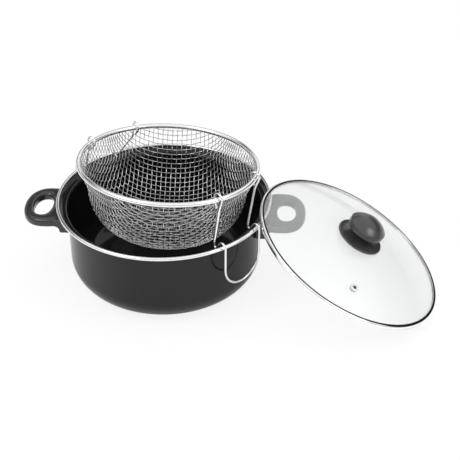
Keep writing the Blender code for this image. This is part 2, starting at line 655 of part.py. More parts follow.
def bowl_net():
    """Crossings of a quarter of the grid, draped over the bowl like the square weave it stands for."""
    limit = BOWL_LENGTHS[-1] + 2 * BOWL_PITCH
    count = int(limit / BOWL_PITCH) + 1
    net = {(0, 0): (0.0, 0.0)}
    for i in range(1, count + 1):
        net[i, 0], net[0, i] = (i * BOWL_PITCH, 0.0), (0.0, i * BOWL_PITCH)
    for i in range(1, count + 1):
        for j in range(1, count + 1):
            around = [net.get(key) for key in ((i - 1, j), (i, j - 1), (i - 1, j - 1))]
            if None not in around and min(hypot(*around[0]), hypot(*around[1])) < limit:
                net[i, j] = crossing(*around)
    return net


def inside(cell, limit):
    """The part of a cell that lies below the bowl's plain edge."""
    kept = []
    for spot, after in zip(cell, cell[1:] + cell[:1]):
        near, far = hypot(*spot), hypot(*after)
        if near <= limit:
            kept.append(spot)
        if (near - limit) * (far - limit) < 0:
            share = (limit - near) / (far - near)
            cut = [p + share * (q - p) for p, q in zip(spot, after)]
            kept.append(tuple(c * limit / hypot(*cut) for c in cut))
    return kept


def cell_area(cell):
    return abs(sum(a[0] * b[1] - a[1] * b[0] for a, b in zip(cell, cell[1:] + cell[:1]))) / 2


def notch_boxes():
    """Where the bowl is notched for the bails' eyes: the way along the rim, half width and depth."""
    wide, deep = 4 * WIRE_RADIUS, EYE_TAIL + 2 * WIRE_RADIUS
    for azimuth in (RIGHT_EYES_AZIMUTH, LEFT_EYES_AZIMUTH):
        for side in (-1, 1):
            yield azimuth + side * EYE_SPREAD, wide, deep


def by_notch(cell):
    """Whether a cell lies so near a notch that it has to stay closed."""
    for along, wide, deep in notch_boxes():
        out, across = Vector((cos(along), sin(along), 0)), Vector((-sin(along), cos(along), 0))
        places = [on_bowl(spot) for spot in cell]
        sides = [place.dot(across) for place in places]
        if (min(sides) < wide and max(sides) > -wide and max(place.dot(out) for place in places) > 0
                and max(place.z for place in places) > -deep - BOWL_PITCH * BOWL_BAR_SHARE):
            return True
    return False


def net_cells(limit):
    """The cells of all four quarters, cut off where the bowl's plain edge begins."""
    quarter = bowl_net()
    reach = max(i for i, _ in quarter)

    def crossing_at(i, j):
        spot = quarter.get((abs(i), abs(j)))
        return spot and (copysign(spot[0], i), copysign(spot[1], j))

    for i in range(-reach, reach):
        for j in range(-reach, reach):
            cell = [crossing_at(*key) for key in ((i, j), (i + 1, j), (i + 1, j + 1), (i, j + 1))]
            cell = [] if None in cell else inside(cell, limit)
            if len(cell) > 2:
                yield cell


def bowl_mesh(name):
    """The bowl as one perforated sheet: every cell of the net is a frame round its opening."""
    bm = bmesh.new()
    half = BOWL_SHELL / 2
    limit = BOWL_LENGTHS[-1] - BOWL_BAND

    def face(*corners):
        bm.faces.new([bm.verts.new(corner) for corner in corners])

    for cell in net_cells(limit):
        middle = [sum(along) / len(cell) for along in zip(*cell)]
        hole = [tuple(m + (c - m) * (1 - BOWL_BAR_SHARE) for m, c in zip(middle, spot)) for spot in cell]
        open_cell = cell_area(cell) > CLOSED_CELL_SHARE * BOWL_PITCH ** 2 and not by_notch(cell)
        sides = []
        for lift in (-half, half):
            ring, rim = ([on_bowl(spot, lift) for spot in spots] for spots in (cell, hole))
            for k in range(len(cell)):
                if open_cell:
                    face(ring[k - 1], ring[k], rim[k], rim[k - 1])
                else:
                    face(ring[k - 1], ring[k], on_bowl(middle, lift))
            sides.append(rim)
        if open_cell:
            for k in range(len(cell)):
                face(sides[0][k - 1], sides[0][k], sides[1][k], sides[1][k - 1])
    bmesh.ops.remove_doubles(bm, verts=bm.verts, dist=MERGE)
    tops = {}
    for edge in [e for e in bm.edges if e.is_boundary]:
        ends = []
        for vert in edge.verts:
            if vert not in tops:
                turn = atan2(vert.co.y, vert.co.x)
                lift = copysign(half, vert.co.xy.length - on_line(limit)[0])
                spot = (BOWL_LENGTHS[-1] * cos(turn), BOWL_LENGTHS[-1] * sin(turn))
                tops[vert] = bm.verts.new(on_bowl(spot, lift))
            ends.append(tops[vert])
        bm.faces.new((edge.verts[0], edge.verts[1], ends[1], ends[0]))
    bmesh.ops.bridge_loops(bm, edges=[e for e in bm.edges if e.is_boundary])
    return mesh_object(name, bm)


def make_basket(parent):
    """The woven bowl as a perforated sheet, notched where each eye goes round the rim tube."""
    bowl = bowl_mesh("basket_mesh")
    for along, wide, deep in notch_boxes():
        low = (bowl_radius(-deep) - 2 * WIRE_RADIUS, -wide, -deep)
        notch = cutter(block("notch_%d" % round(degrees(along)), low,
                             (BASKET_RADIUS + TUBE_RADIUS + OVERRUN, wide, OVERRUN)), parent)
        notch.rotation_euler.z = along
        boolean(bowl, notch, "DIFFERENCE")
    finish(bowl, STEEL, parent)
    tube = arc((BASKET_RADIUS, 0), TUBE_RADIUS, 0, 2 * pi, 10)[:-1]
    finish(turned("basket_rim", tube, RING_STEPS), STEEL, parent)


def hook_points(azimuth, side):
    """The step hook over the rim, from the foot of the inner leg to the outer leg."""
    half = HOOK_SPAN / 2
    out = Vector((cos(azimuth), sin(azimuth), 0))
    across = Vector((-sin(azimuth), cos(azimuth), 0)) * half * side
    outer = sqrt(RIM_RADIUS ** 2 - half ** 2) + HOOK_OFFSET + WIRE_RADIUS
    crest = (outer - CREST_BEND, POT_HEIGHT + CREST_RISE - CREST_BEND)
    over = arc(crest, CREST_BEND, pi / 2 + HOOK_SLOPE, 0, BEND_STEPS)
    low = LEDGE_Z + GAP + WIRE_RADIUS
    turn = HOOK_SLOPE - pi / 2
    rise = over[0][1] - (low + CURL_BEND + CURL_BEND * sin(turn))
    middle = over[0][0] - rise / tan(HOOK_SLOPE) - CURL_BEND * cos(turn)
    under = arc((middle, low + CURL_BEND), CURL_BEND, -pi, turn, BEND_STEPS)
    line = [(middle - CURL_BEND, low + CURL_BEND + HOOK_RUN)] + under + over
    return [out * d + across + Vector((0, 0, z)) for d, z in line]


def eye_points(eye, tangent, foot, side):
    """The teardrop eye round the rim tube, from the wire's free end to where the leg leaves it."""
    up = eye - foot
    up = (up - up.project(tangent)).normalized()
    out = tangent.cross(up).normalized()
    if out.dot(Vector((eye.x, eye.y, 0))) < 0:
        out = -out
    half_angle = asin((TUBE_RADIUS + WIRE_RADIUS + EYE_CLEARANCE) / EYE_TAIL)
    radius = (EYE_TAIL + EYE_LIFT) * sin(half_angle)
    apex = eye - up * EYE_TAIL
    middle = eye + up * EYE_LIFT
    shift = tangent * side * (2 * WIRE_RADIUS + GAP)
    turns = [pi + half_angle - (pi + 2 * half_angle) * i / (2 * BEND_STEPS) for i in range(2 * BEND_STEPS + 1)]
    bow = [middle + out * radius * cos(a) + up * radius * sin(a) for a in turns]
    end = bow[0].lerp(apex, EYE_END_SHARE)
    path = [end] + bow
    steps = len(path) - 1
    path = [point + shift * (1 - i / steps) for i, point in enumerate(path)]
    return path + [apex.lerp(bow[-1], 0.12), apex - up * WIRE_RADIUS]


def bail_side(eyes_azimuth, hooks_azimuth, side):
    azimuth = eyes_azimuth + side * EYE_SPREAD
    eye = rim_point(azimuth)
    tangent = (BASKET_TURN @ Vector((-sin(azimuth), cos(azimuth), 0))).normalized()
    hook = hook_points(hooks_azimuth, side)
    return eye, eye_points(eye, tangent, hook[0], side) + hook


def loop_points(azimuth):
    """The outer loop that hangs outside the wall: a half circle between the two hooks."""
    half = HOOK_SPAN / 2
    out = Vector((cos(azimuth), sin(azimuth), 0))
    across = Vector((-sin(azimuth), cos(azimuth), 0))
    outer = sqrt(RIM_RADIUS ** 2 - half ** 2) + HOOK_OFFSET + WIRE_RADIUS
    bow = arc((0, POT_HEIGHT - LOOP_BOTTOM + half), half, -pi, 0, 3 * BEND_STEPS)
    return [out * outer + across * t + Vector((0, 0, z)) for t, z in bow]


def make_bail(name, eyes_azimuth, hooks_azimuth, parent):
    """One wire from eye to eye; its origin is half-way along the line that it swings about."""
    first_eye, first = bail_side(eyes_azimuth, hooks_azimuth, -1)
    second_eye, second = bail_side(eyes_azimuth, hooks_azimuth, 1)
    path = first + loop_points(hooks_azimuth) + second[::-1]
    origin = (first_eye + second_eye) / 2
    curve = bpy.data.curves.new(name, "CURVE")
    curve.dimensions = "3D"
    curve.bevel_depth = WIRE_RADIUS
    curve.bevel_resolution = 2
    curve.use_fill_caps = True
    spline = curve.splines.new("POLY")
    spline.points.add(len(path) - 1)
    for point, place in zip(spline.points, path):
        point.co = (*(place - origin), 1)
    bail = add_object(name, curve)
    bail.location = origin
    return finish(bail, CHROME, parent)


pot_frame = frame("pot_frame", (0, 0, 0))
make_pot(pot_frame)
make_bead(pot_frame)
for side, turn in (("right", 0), ("left", pi)):
    handle_frame = frame("handle_frame_" + side, (0, 0, 0), Matrix.Rotation(HANDLE_AZIMUTH + turn, 4, "Z"))
    make_handle(side, handle_frame)

lid_frame = frame("lid_frame", (0, 0, 0))
lid_frame.matrix_world = lid_place()
make_glass(lid_frame)
make_lid_ring(lid_frame)
make_vent(lid_frame)
make_knob(lid_frame)

basket_frame = frame("basket_frame", BASKET_PLACE, BASKET_TURN)
make_basket(basket_frame)
bail_frame = frame("bail_frame", (0, 0, 0))
make_bail("bail_right", RIGHT_EYES_AZIMUTH, RIGHT_HOOKS_AZIMUTH, bail_frame)
make_bail("bail_left", LEFT_EYES_AZIMUTH, LEFT_HOOKS_AZIMUTH, bail_frame)
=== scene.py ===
# %% [markdown]
# # A frying pot, a raised wire basket and a leaning glass lid
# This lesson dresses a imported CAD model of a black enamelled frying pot. The CAD model is the frame:
# it says where each body is and how it moves. Here we make the surfaces that the eye sees, finer than
# the CAD's flat facets, and give each one a procedural finish. The first cell loads the frame.

# %% Load the frame
import bmesh
import bpy
from bisect import bisect_right
from math import acos, asin, atan2, ceil, cos, degrees, hypot, pi, radians, sin, sqrt, tan
from mathutils import Matrix, Vector


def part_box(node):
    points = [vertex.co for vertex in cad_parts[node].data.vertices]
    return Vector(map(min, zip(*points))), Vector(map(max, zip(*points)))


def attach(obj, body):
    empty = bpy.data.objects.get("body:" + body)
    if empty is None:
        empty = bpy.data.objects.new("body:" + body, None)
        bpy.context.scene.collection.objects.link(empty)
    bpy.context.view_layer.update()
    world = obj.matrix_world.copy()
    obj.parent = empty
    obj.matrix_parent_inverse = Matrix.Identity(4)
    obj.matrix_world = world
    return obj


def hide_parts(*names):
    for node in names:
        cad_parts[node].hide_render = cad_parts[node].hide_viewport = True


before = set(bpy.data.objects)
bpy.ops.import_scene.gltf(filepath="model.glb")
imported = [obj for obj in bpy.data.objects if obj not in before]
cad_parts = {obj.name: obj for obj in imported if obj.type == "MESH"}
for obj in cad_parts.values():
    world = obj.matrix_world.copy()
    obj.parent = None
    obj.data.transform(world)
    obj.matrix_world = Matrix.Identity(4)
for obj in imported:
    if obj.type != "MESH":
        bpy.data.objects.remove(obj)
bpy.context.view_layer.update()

# %% [markdown]
# ## Camera
# The photograph was taken from about 1.3 m away, looking down by 34 degrees. A long lens keeps the rim's
# ellipse calm. The camera's place was found by fitting the rim, the wall, the basket's rim and the lid's
# ring, so the render and the photograph can be laid over each other.

# %% Camera
CAMERA_PLACE = Vector((0.0791, -1.0340, 0.7657))
LOOK_DOWN = radians(34.436)
ROLL = radians(0.387)
LENS = 80.0
SENSOR = 36.0
CLIP_END = 20.0

camera_data = bpy.data.cameras.new("camera")
camera_data.lens = LENS
camera_data.sensor_width = SENSOR
camera_data.clip_end = CLIP_END
camera = bpy.data.objects.new("camera", camera_data)
bpy.context.scene.collection.objects.link(camera)
camera.matrix_world = (Matrix.Translation(CAMERA_PLACE)
                       @ Matrix.Rotation(pi / 2 - LOOK_DOWN, 4, "X") @ Matrix.Rotation(ROLL, 4, "Z"))
bpy.context.scene.camera = camera
bpy.context.scene.view_settings.view_transform = "Standard"
print("the camera is %.2f m from the pot" % CAMERA_PLACE.length)

# %% [markdown]
# ## Shader maths as expressions
# A procedural finish is mostly arithmetic on textures. Wiring Math nodes by hand hides that, so one small
# class wraps a socket and lets us write `noise * 0.2 + 0.1`. Every other node comes from `node`, which
# takes the node's type, its settings and the values of its sockets. It belongs to a second class, which
# holds the nodes of one material or world, so that a finish reads as a short list of what it is made of.

# %% Socket class
class Value:
    """A shader socket that can be added to, multiplied and so on; each step adds a Math node."""

    def __init__(self, finish, socket):
        self.finish, self.socket = finish, socket

    def maths(self, operation, first, second):
        return self.finish.node("ShaderNodeMath", {"operation": operation}, {0: first, 1: second})

    def __add__(self, other):
        return self.maths("ADD", self, other)

    def __radd__(self, other):
        return self.maths("ADD", other, self)

    def __sub__(self, other):
        return self.maths("SUBTRACT", self, other)

    def __rsub__(self, other):
        return self.maths("SUBTRACT", other, self)

    def __mul__(self, other):
        return self.maths("MULTIPLY", self, other)

    def __rmul__(self, other):
        return self.maths("MULTIPLY", other, self)

    def above(self, other):
        return self.maths("GREATER_THAN", self, other)


print("the socket class knows + - * and above")

# %% Finish builder
# A Mix node has sockets of the same name for each kind of value, so the colour ones go by their place.
MIX_FACTOR, MIX_FIRST, MIX_SECOND = 0, 6, 7
MIX_RESULT = 2
BUMP_STRENGTH = 0.35


def fill_ramp(ramp, stops):
    for place, _ in stops[len(ramp.elements):]:
        ramp.elements.new(place)
    for element, (place, colour) in zip(ramp.elements, stops):
        element.position, element.color = place, (*colour, 1)


class Finish:
    """The nodes of one material or world, and the only way that they are added."""

    def __init__(self, name, store=bpy.data.materials):
        self.owner = store.new(name)
        self.owner.use_nodes = True
        self.tree = self.owner.node_tree
        shown = self.tree.links[0]
        self.shader, self.output = shown.from_node, shown.to_node
        self.own = Value(self, self.shader.outputs[0])

    def node(self, kind, settings=None, inputs=None, output=0):
        """Adds a node, sets it up, feeds its inputs and returns one of its outputs."""
        made = self.tree.nodes.new(kind)
        for name, value in (settings or {}).items():
            if name == "stops":
                fill_ramp(made.color_ramp, value)
            else:
                setattr(made, name, value)
        for key, value in (inputs or {}).items():
            self.feed(made.inputs[key], value)
        return Value(self, made.outputs[output])

    def feed(self, socket, value):
        if isinstance(value, Value):
            self.tree.links.new(value.socket, socket)
        elif socket.type == "RGBA":
            socket.default_value = (*value, 1)
        else:
            socket.default_value = value

    def set(self, **inputs):
        """Sets or links sockets of the own shader; a space in a socket's name is written as _."""
        for name, value in inputs.items():
            self.feed(self.shader.inputs[name.replace("_", " ")], value)

    def show(self, shader):
        self.feed(self.output.inputs["Surface"], shader)

    def mix(self, share, first, second):
        return self.node("ShaderNodeMixShader", {}, {0: share, 1: first, 2: second})

    def blend(self, factor, first, second):
        return self.node("ShaderNodeMix", {"data_type": "RGBA"},
                         {MIX_FACTOR: factor, MIX_FIRST: first, MIX_SECOND: second}, MIX_RESULT)

    def place(self):
        return self.node("ShaderNodeTexCoord", output="Object")

    def noise(self, scale, detail, stretch=(1, 1, 1)):
        where = self.node("ShaderNodeMapping", {}, {"Vector": self.place(), "Scale": stretch})
        return self.node("ShaderNodeTexNoise", {}, {"Vector": where, "Scale": scale, "Detail": detail})

    def bump(self, height, distance):
        self.set(Normal=self.node("ShaderNodeBump", {}, {"Height": height, "Distance": distance,
                                                         "Strength": BUMP_STRENGTH}))

    def rays(self):
        """Masks for what the camera sees, what mirrors show and what glass lets through."""
        path = self.node("ShaderNodeLightPath").socket.node
        return [Value(self, path.outputs[name])
                for name in ("Is Camera Ray", "Is Glossy Ray", "Is Transmission Ray")]


print("a finish can blend colours, mix shaders and raise bumps of strength", BUMP_STRENGTH)

# %% [markdown]
# ## Finishes
# Enamel is glass fused on steel: black underneath, with a wet gloss and the faintest orange peel. Bright
# steel wire and tube are smooth mirrors with drawing marks. The handles and the knob are pressed
# phenolic, whose satin skin is a little cloudy. The finishes sit on the shader's own sockets, and only
# what varies over the surface is fed by a texture.

# %% Enamel
ENAMEL_DEEP = (0.004, 0.004, 0.0045)
ENAMEL_CLOUD = (0.011, 0.011, 0.012)
ENAMEL_ROUGHNESS = 0.05
ENAMEL_IOR = 1.38
PEEL_HEIGHT = 0.00001


def enamel():
    """The roughness doubles from the clear places to the cloudy ones."""
    made = Finish("black_enamel")
    cloud = made.noise(scale=18, detail=2)
    made.set(Base_Color=made.blend(cloud, ENAMEL_DEEP, ENAMEL_CLOUD),
             Roughness=ENAMEL_ROUGHNESS * (1 + cloud), IOR=ENAMEL_IOR)
    made.bump(made.noise(scale=420, detail=2), PEEL_HEIGHT)
    return made.owner


ENAMEL = enamel()
print("the enamel is a layer of glass with an index of", ENAMEL_IOR)

# %% Bright metals
DRAWN_STRETCH = (1, 1, 0.2)
DRAWN_DETAIL = 4
DRAWN_SHADE = 0.86


def bright_metal(name, colour, smooth, rough, marks):
    made = Finish(name)
    drawn = made.noise(marks, DRAWN_DETAIL, DRAWN_STRETCH)
    darker = tuple(DRAWN_SHADE * part for part in colour)
    made.set(Base_Color=made.blend(drawn, colour, darker), Roughness=smooth + drawn * (rough - smooth),
             Metallic=1.0)
    return made.owner


CHROME = bright_metal("bright_bead", (0.95, 0.95, 0.95), smooth=0.07, rough=0.12, marks=240)
RING = bright_metal("lid_ring_steel", (0.95, 0.95, 0.95), smooth=0.02, rough=0.05, marks=240)
WIRE = bright_metal("bright_wire", (0.90, 0.90, 0.905), smooth=0.08, rough=0.18, marks=300)
TUBE = bright_metal("rim_tube_steel", (0.95, 0.95, 0.95), smooth=0.13, rough=0.19, marks=180)
MESH = bright_metal("woven_wire", (0.61, 0.61, 0.62), smooth=0.12, rough=0.22, marks=400)
STEEL = bright_metal("plain_steel", (0.62, 0.62, 0.63), smooth=0.25, rough=0.40, marks=200)
BRASS = bright_metal("turned_brass", (0.60, 0.42, 0.17), smooth=0.22, rough=0.36, marks=300)
print("seven metals are drawn or turned from one recipe")

# %% Phenolic and silicone
NOISE_MIDDLE = 0.5
PHENOLIC_CLOUDING = 2.1
PHENOLIC_SWING = 0.14
PHENOLIC_IOR = 1.55
GRAIN_HEIGHT = 0.00004
SEAL_DULL = (0.40, 0.40, 0.39)
SEAL_PALE = (0.55, 0.55, 0.54)
SEAL_ROUGHNESS = 0.45
SEAL_SWING = 0.2


def phenolic(name, colour, roughness):
    """Squaring the noise keeps most of the skin dark and leaves few pale clouds."""
    made = Finish(name)
    cloud = made.noise(scale=60, detail=5)
    paler = tuple(PHENOLIC_CLOUDING * part for part in colour)
    made.set(Base_Color=made.blend(cloud * cloud, colour, paler),
             Roughness=roughness + (cloud - NOISE_MIDDLE) * PHENOLIC_SWING, IOR=PHENOLIC_IOR)
    made.bump(made.noise(scale=900, detail=3), GRAIN_HEIGHT)
    return made.owner


def seal_rubber():
    made = Finish("clear_seal")
    haze = made.noise(scale=150, detail=3)
    made.set(Base_Color=made.blend(haze, SEAL_DULL, SEAL_PALE),
             Roughness=SEAL_ROUGHNESS + haze * SEAL_SWING)
    return made.owner


HANDLE_SKIN = phenolic("handle_phenolic", (0.018, 0.018, 0.0182), roughness=0.20)
KNOB_SKIN = phenolic("knob_phenolic", (0.032, 0.032, 0.0322), roughness=0.22)
SEAL = seal_rubber()
print("made", len(bpy.data.materials), "materials so far")

# %% [markdown]
# ## Clear lid glass
# Tempered glass shows what is behind it, and over dark things it shows a pale veil: the studio's white
# mirrored in its two faces. A Principled shader with full transmission gives the clearness. Its index is
# lower than real glass has, so that the faces mirror the dark parts of the studio as faintly as in the
# photograph. A share of a dull glossy shader, mixed over it, gives the veil.

# %% Lid glass
GLASS_TINT = (0.972, 0.978, 0.976)
GLASS_IOR = 1.25
FILM_ROUGHNESS = 0.02
VEIL_TINT = (0.92, 0.93, 0.93)
VEIL_ROUGHNESS = 0.55
VEIL_SHARE = 0.19


def lid_glass():
    made = Finish("lid_glass_clear")
    film = made.noise(scale=9, detail=2)
    made.set(Base_Color=GLASS_TINT, Transmission_Weight=1.0, IOR=GLASS_IOR,
             Roughness=film * FILM_ROUGHNESS)
    veil = made.node("ShaderNodeBsdfGlossy", {}, {"Color": VEIL_TINT, "Roughness": VEIL_ROUGHNESS})
    made.show(made.mix(VEIL_SHARE, made.own, veil))
    return made.owner


GLASS = lid_glass()
print("the glass carries a veil of", VEIL_SHARE)

# %% [markdown]
# ## Tools for turned pieces
# Nearly every piece here is round: spun sheet, rolled bead, turned knob. So one helper spins a profile of
# radius and height into a closed mesh, many steps round, and another gives a line of points the thickness
# of a sheet. `arc` keeps bends as true curves. A last one puts a finished mesh on the body that carries it.

# %% Helpers for turned sheet
ROUND = 192
SMALL_ROUND = 72
SHARP_ANGLE = radians(35)
WELD = 1e-7
MM = 0.001


def mm(length):
    return "%.1f mm" % (length / MM)


def arc(centre, radius, start, end, steps):
    turns = [start + (end - start) * i / steps for i in range(steps + 1)]
    return [(centre[0] + radius * cos(a), centre[1] + radius * sin(a)) for a in turns]


def sheet_profile(line, thickness):
    """Thickens a line of (radius, height) points by half its sheet to each side."""
    left, right = [], []
    for i, (r, z) in enumerate(line):
        before, after = line[max(i - 1, 0)], line[min(i + 1, len(line) - 1)]
        along = Vector((after[0] - before[0], after[1] - before[1])).normalized()
        across = Vector((-along.y, along.x)) * thickness / 2
        if r == 0:
            across.x = 0
        left.append((r + across.x, z + across.y))
        right.append((r - across.x, z - across.y))
    return left + right[::-1]


def smooth_mesh(name, bm, sharp=SHARP_ANGLE):
    bmesh.ops.recalc_face_normals(bm, faces=bm.faces)
    mesh = bpy.data.meshes.new(name)
    bm.to_mesh(mesh)
    bm.free()
    mesh.shade_smooth()
    mesh.set_sharp_from_angle(angle=sharp)
    return mesh


def turned(name, profile, steps, closed=True, sharp=SHARP_ANGLE):
    """Spins a profile; one that starts and ends on the axis isn't closed into a loop."""
    bm = bmesh.new()
    verts = [bm.verts.new((r, 0, z)) for r, z in profile]
    edges = [bm.edges.new(pair) for pair in zip(verts, verts[1:])]
    if closed:
        edges.append(bm.edges.new((verts[-1], verts[0])))
    bmesh.ops.spin(bm, geom=verts + edges, axis=(0, 0, 1), cent=(0, 0, 0), angle=2 * pi,
                   steps=steps, use_merge=True)
    bmesh.ops.remove_doubles(bm, verts=bm.verts, dist=WELD)
    return smooth_mesh(name, bm, sharp)


def add_piece(mesh, finish, body, node, matrix=None):
    """Adds a piece, named as its mesh, for a CAD node; like the node's, its place is in its mesh."""
    if matrix:
        mesh.transform(matrix)
    piece = bpy.data.objects.new(mesh.name, mesh)
    bpy.context.scene.collection.objects.link(piece)
    mesh.materials.append(finish)
    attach(piece, body)
    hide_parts(node)


print("a large round has", ROUND, "steps and a small one", SMALL_ROUND)

# %% [markdown]
# ## Pot shell and bead
# The pot is one sheet, drawn deep and then stepped: just below the rim the wall swells out into a level
# ledge that carries the lid, and above it a short collar ends in a raw edge. A bright bead is rolled over
# that edge. Spinning one thickened line gives the shell; the bead is a split ring spun the same way.
# The sizes, here and below, are in metres, and most have the names that they have in the CAD's source.

# %% Pot shell
RIM_RADIUS = 0.129
POT_HEIGHT = 0.106
RIM_STEP = 0.0127
WALL_RADIUS = RIM_RADIUS - RIM_STEP
SHEET = 0.0012
BASE_BEND = 0.033
BASE_STEPS = 24
BASE_MARGIN_SHARE = 0.2
LEDGE_DROP = 0.0066
LEDGE_INSET = 0.0064
LEDGE_WIDTH = 0.004
LEDGE_Z = POT_HEIGHT - LEDGE_DROP
LEDGE_OUTER_RADIUS = RIM_RADIUS - LEDGE_INSET
LEDGE_INNER_RADIUS = LEDGE_OUTER_RADIUS - LEDGE_WIDTH
LEDGE_NECK = 0.0057
NECK_STEPS = 10
NECK_OUT_POWER = 1.9
NECK_UP_POWER = 1.8
COLLAR_BEND_END = -pi / 6
COLLAR_STEPS = 4
BEAD_RADIUS = 0.0021
BEAD_Z = POT_HEIGHT - BEAD_RADIUS
BEAD_MIDDLE = RIM_RADIUS - BEAD_RADIUS
EDGE_FIT = 0.0003


def pot_line():
    """The middle of the sheet, from the centre of the base to the raw edge inside the bead."""
    half = SHEET / 2
    wall = WALL_RADIUS - half
    bend = BASE_BEND - half
    line = [(0, half), (wall - bend - BASE_MARGIN_SHARE * bend, half)]
    line += arc((wall - bend, half + bend), bend, -pi / 2, 0, BASE_STEPS)
    seat = LEDGE_Z - half
    neck = seat - LEDGE_NECK
    swell = LEDGE_INNER_RADIUS - wall
    line += [(wall, neck - half), (wall, neck)]
    for i in range(1, NECK_STEPS + 1):
        share = i / NECK_STEPS
        up = 1 - (1 - share) ** NECK_UP_POWER
        line.append((wall + swell * share ** NECK_OUT_POWER, neck + LEDGE_NECK * up))
    collar = (LEDGE_OUTER_RADIUS - SHEET, seat + SHEET)
    line += arc(collar, SHEET, -pi / 2, COLLAR_BEND_END, COLLAR_STEPS)
    return line + [(BEAD_MIDDLE, BEAD_Z - BEAD_RADIUS), (BEAD_MIDDLE, BEAD_Z - EDGE_FIT)]


shell_mesh = turned("pot_shell", sheet_profile(pot_line(), SHEET), ROUND, closed=False)
add_piece(shell_mesh, ENAMEL, "pot", "pot_body")
print("the shell has", len(shell_mesh.polygons), "faces")

# %% Rim bead
BEAD_STEPS = 26


def bead_profile():
    slit = SHEET / 2 + EDGE_FIT / 2
    mouth = acos(slit / BEAD_RADIUS)
    return (arc((BEAD_MIDDLE, BEAD_Z), BEAD_RADIUS, -mouth, pi + mouth, BEAD_STEPS)
            + [(BEAD_MIDDLE - slit, BEAD_Z), (BEAD_MIDDLE + slit, BEAD_Z)])


add_piece(turned("rim_bead", bead_profile(), ROUND), CHROME, "pot", "rim_band")
print("the bead is", mm(2 * BEAD_RADIUS), "thick")

# %% [markdown]
# ## Handles
# Each handle is one phenolic moulding: a finger loop whose section is a flat bar with soft edges, and an
# apron that follows the wall and hangs lower than the loop. The loop is swept round its hole, and the
# apron is a sector of a turned profile between two flat ends. Joined as they are they would meet in a
# hard line, so a voxel remesh melts them into one skin and a little smoothing rounds the corners, as the
# mould does.

# %% Finger loop
HANDLE_LENGTH = 0.0537
HANDLE_REACH = WALL_RADIUS + HANDLE_LENGTH
HANDLE_WIDTH = 0.074
HANDLE_THICKNESS = 0.0115
HANDLE_TOP_DROP = 0.0155
HANDLE_TOP = POT_HEIGHT - HANDLE_TOP_DROP
HANDLE_BOTTOM = HANDLE_TOP - HANDLE_THICKNESS
HANDLE_TIP_LENGTH = 0.028
HOLE_LENGTH = 0.022
HOLE_WIDTH = 0.044
TIP_ARM = 0.012
TIP_POWER = 2.25
ROOT_POWER = 5.0
HOLE_POWER = 2.2
BAR_POWER = 3.2
LOOP_STEPS = 120
BAR_STEPS = 28
APRON_DEPTH = 0.0115
WALL_SEAT = WALL_RADIUS + EDGE_FIT


def superellipse(angle, length, width, power):
    """A point of an oval; a power of 2 gives an ellipse, and a higher one nears a rectangle."""
    c, s = cos(angle), sin(angle)
    return (length * abs(c) ** (2 / power) * (1 if c >= 0 else -1),
            width * abs(s) ** (2 / power) * (1 if s >= 0 else -1))


def loop_rings():
    """Sections of the bar, one after another round the finger hole."""
    widest = HANDLE_REACH - HANDLE_TIP_LENGTH
    root = widest - (WALL_SEAT + APRON_DEPTH / 2)
    hole = HANDLE_REACH - TIP_ARM - HOLE_LENGTH / 2
    for i in range(LOOP_STEPS):
        angle = 2 * pi * i / LOOP_STEPS
        length, power = (HANDLE_TIP_LENGTH, TIP_POWER) if cos(angle) >= 0 else (root, ROOT_POWER)
        outline = superellipse(angle, length, HANDLE_WIDTH / 2, power)
        opening = superellipse(angle, HOLE_LENGTH / 2, HOLE_WIDTH / 2, HOLE_POWER)
        outer, inner = Vector((widest, 0)) + Vector(outline), Vector((hole, 0)) + Vector(opening)
        middle, half = (outer + inner) / 2, (outer - inner) / 2
        ring = []
        for j in range(BAR_STEPS):
            across, up = superellipse(2 * pi * (j + 0.5) / BAR_STEPS, 1, 1, BAR_POWER)
            flat = middle + half * across
            height = (HANDLE_TOP + HANDLE_BOTTOM) / 2 + up * HANDLE_THICKNESS / 2
            ring.append((flat.x, flat.y, height))
        yield ring


def loop_mesh():
    bm = bmesh.new()
    rings = [[bm.verts.new(point) for point in ring] for ring in loop_rings()]
    for ring, after in zip(rings, rings[1:] + rings[:1]):
        for j, vert in enumerate(ring):
            k = (j + 1) % len(ring)
            bm.faces.new((vert, ring[k], after[k], after[j]))
    return smooth_mesh("handle_loop", bm)


print("the finger hole is", mm(HOLE_LENGTH), "by", mm(HOLE_WIDTH))

# %% Apron
APRON_WIDTH = 0.0715
APRON_DROP = 0.0187
APRON_EDGE = 0.0012
APRON_ROWS = 40
GUSSET = 0.0055
GUSSET_STEPS = 8


def apron_mesh():
    """The apron's section, set out along the wall between two flat ends."""
    low, edge = HANDLE_TOP - APRON_DROP, APRON_EDGE
    out, top = WALL_SEAT + APRON_DEPTH, HANDLE_TOP - APRON_EDGE / 2
    profile = [(WALL_SEAT, low), (out - edge, low), (out, low + edge)]
    profile += arc((out + GUSSET, HANDLE_BOTTOM + edge - GUSSET), GUSSET, pi, pi / 2, GUSSET_STEPS)
    profile += [(out + GUSSET, top - edge), (out, top), (WALL_SEAT, top)]
    bm = bmesh.new()
    rows = []
    for i in range(APRON_ROWS + 1):
        y = APRON_WIDTH * (i / APRON_ROWS - 1 / 2)
        rows.append([bm.verts.new((sqrt(r ** 2 - y ** 2), y, z)) for r, z in profile])
    for row, after in zip(rows, rows[1:]):
        for j in range(len(row)):
            bm.faces.new((row[j - 1], row[j], after[j], after[j - 1]))
    bm.faces.new(rows[0])
    bm.faces.new(rows[-1])
    return smooth_mesh("handle_apron", bm)


print("the apron hangs", mm(APRON_DROP), "below the handle's top")

# %% One moulded skin
HANDLE_AZIMUTH = radians(-2.5)
SKIN_VOXEL = 0.0007
SKIN_ROUNDS = 5
SKIN_SOFTNESS = 0.5


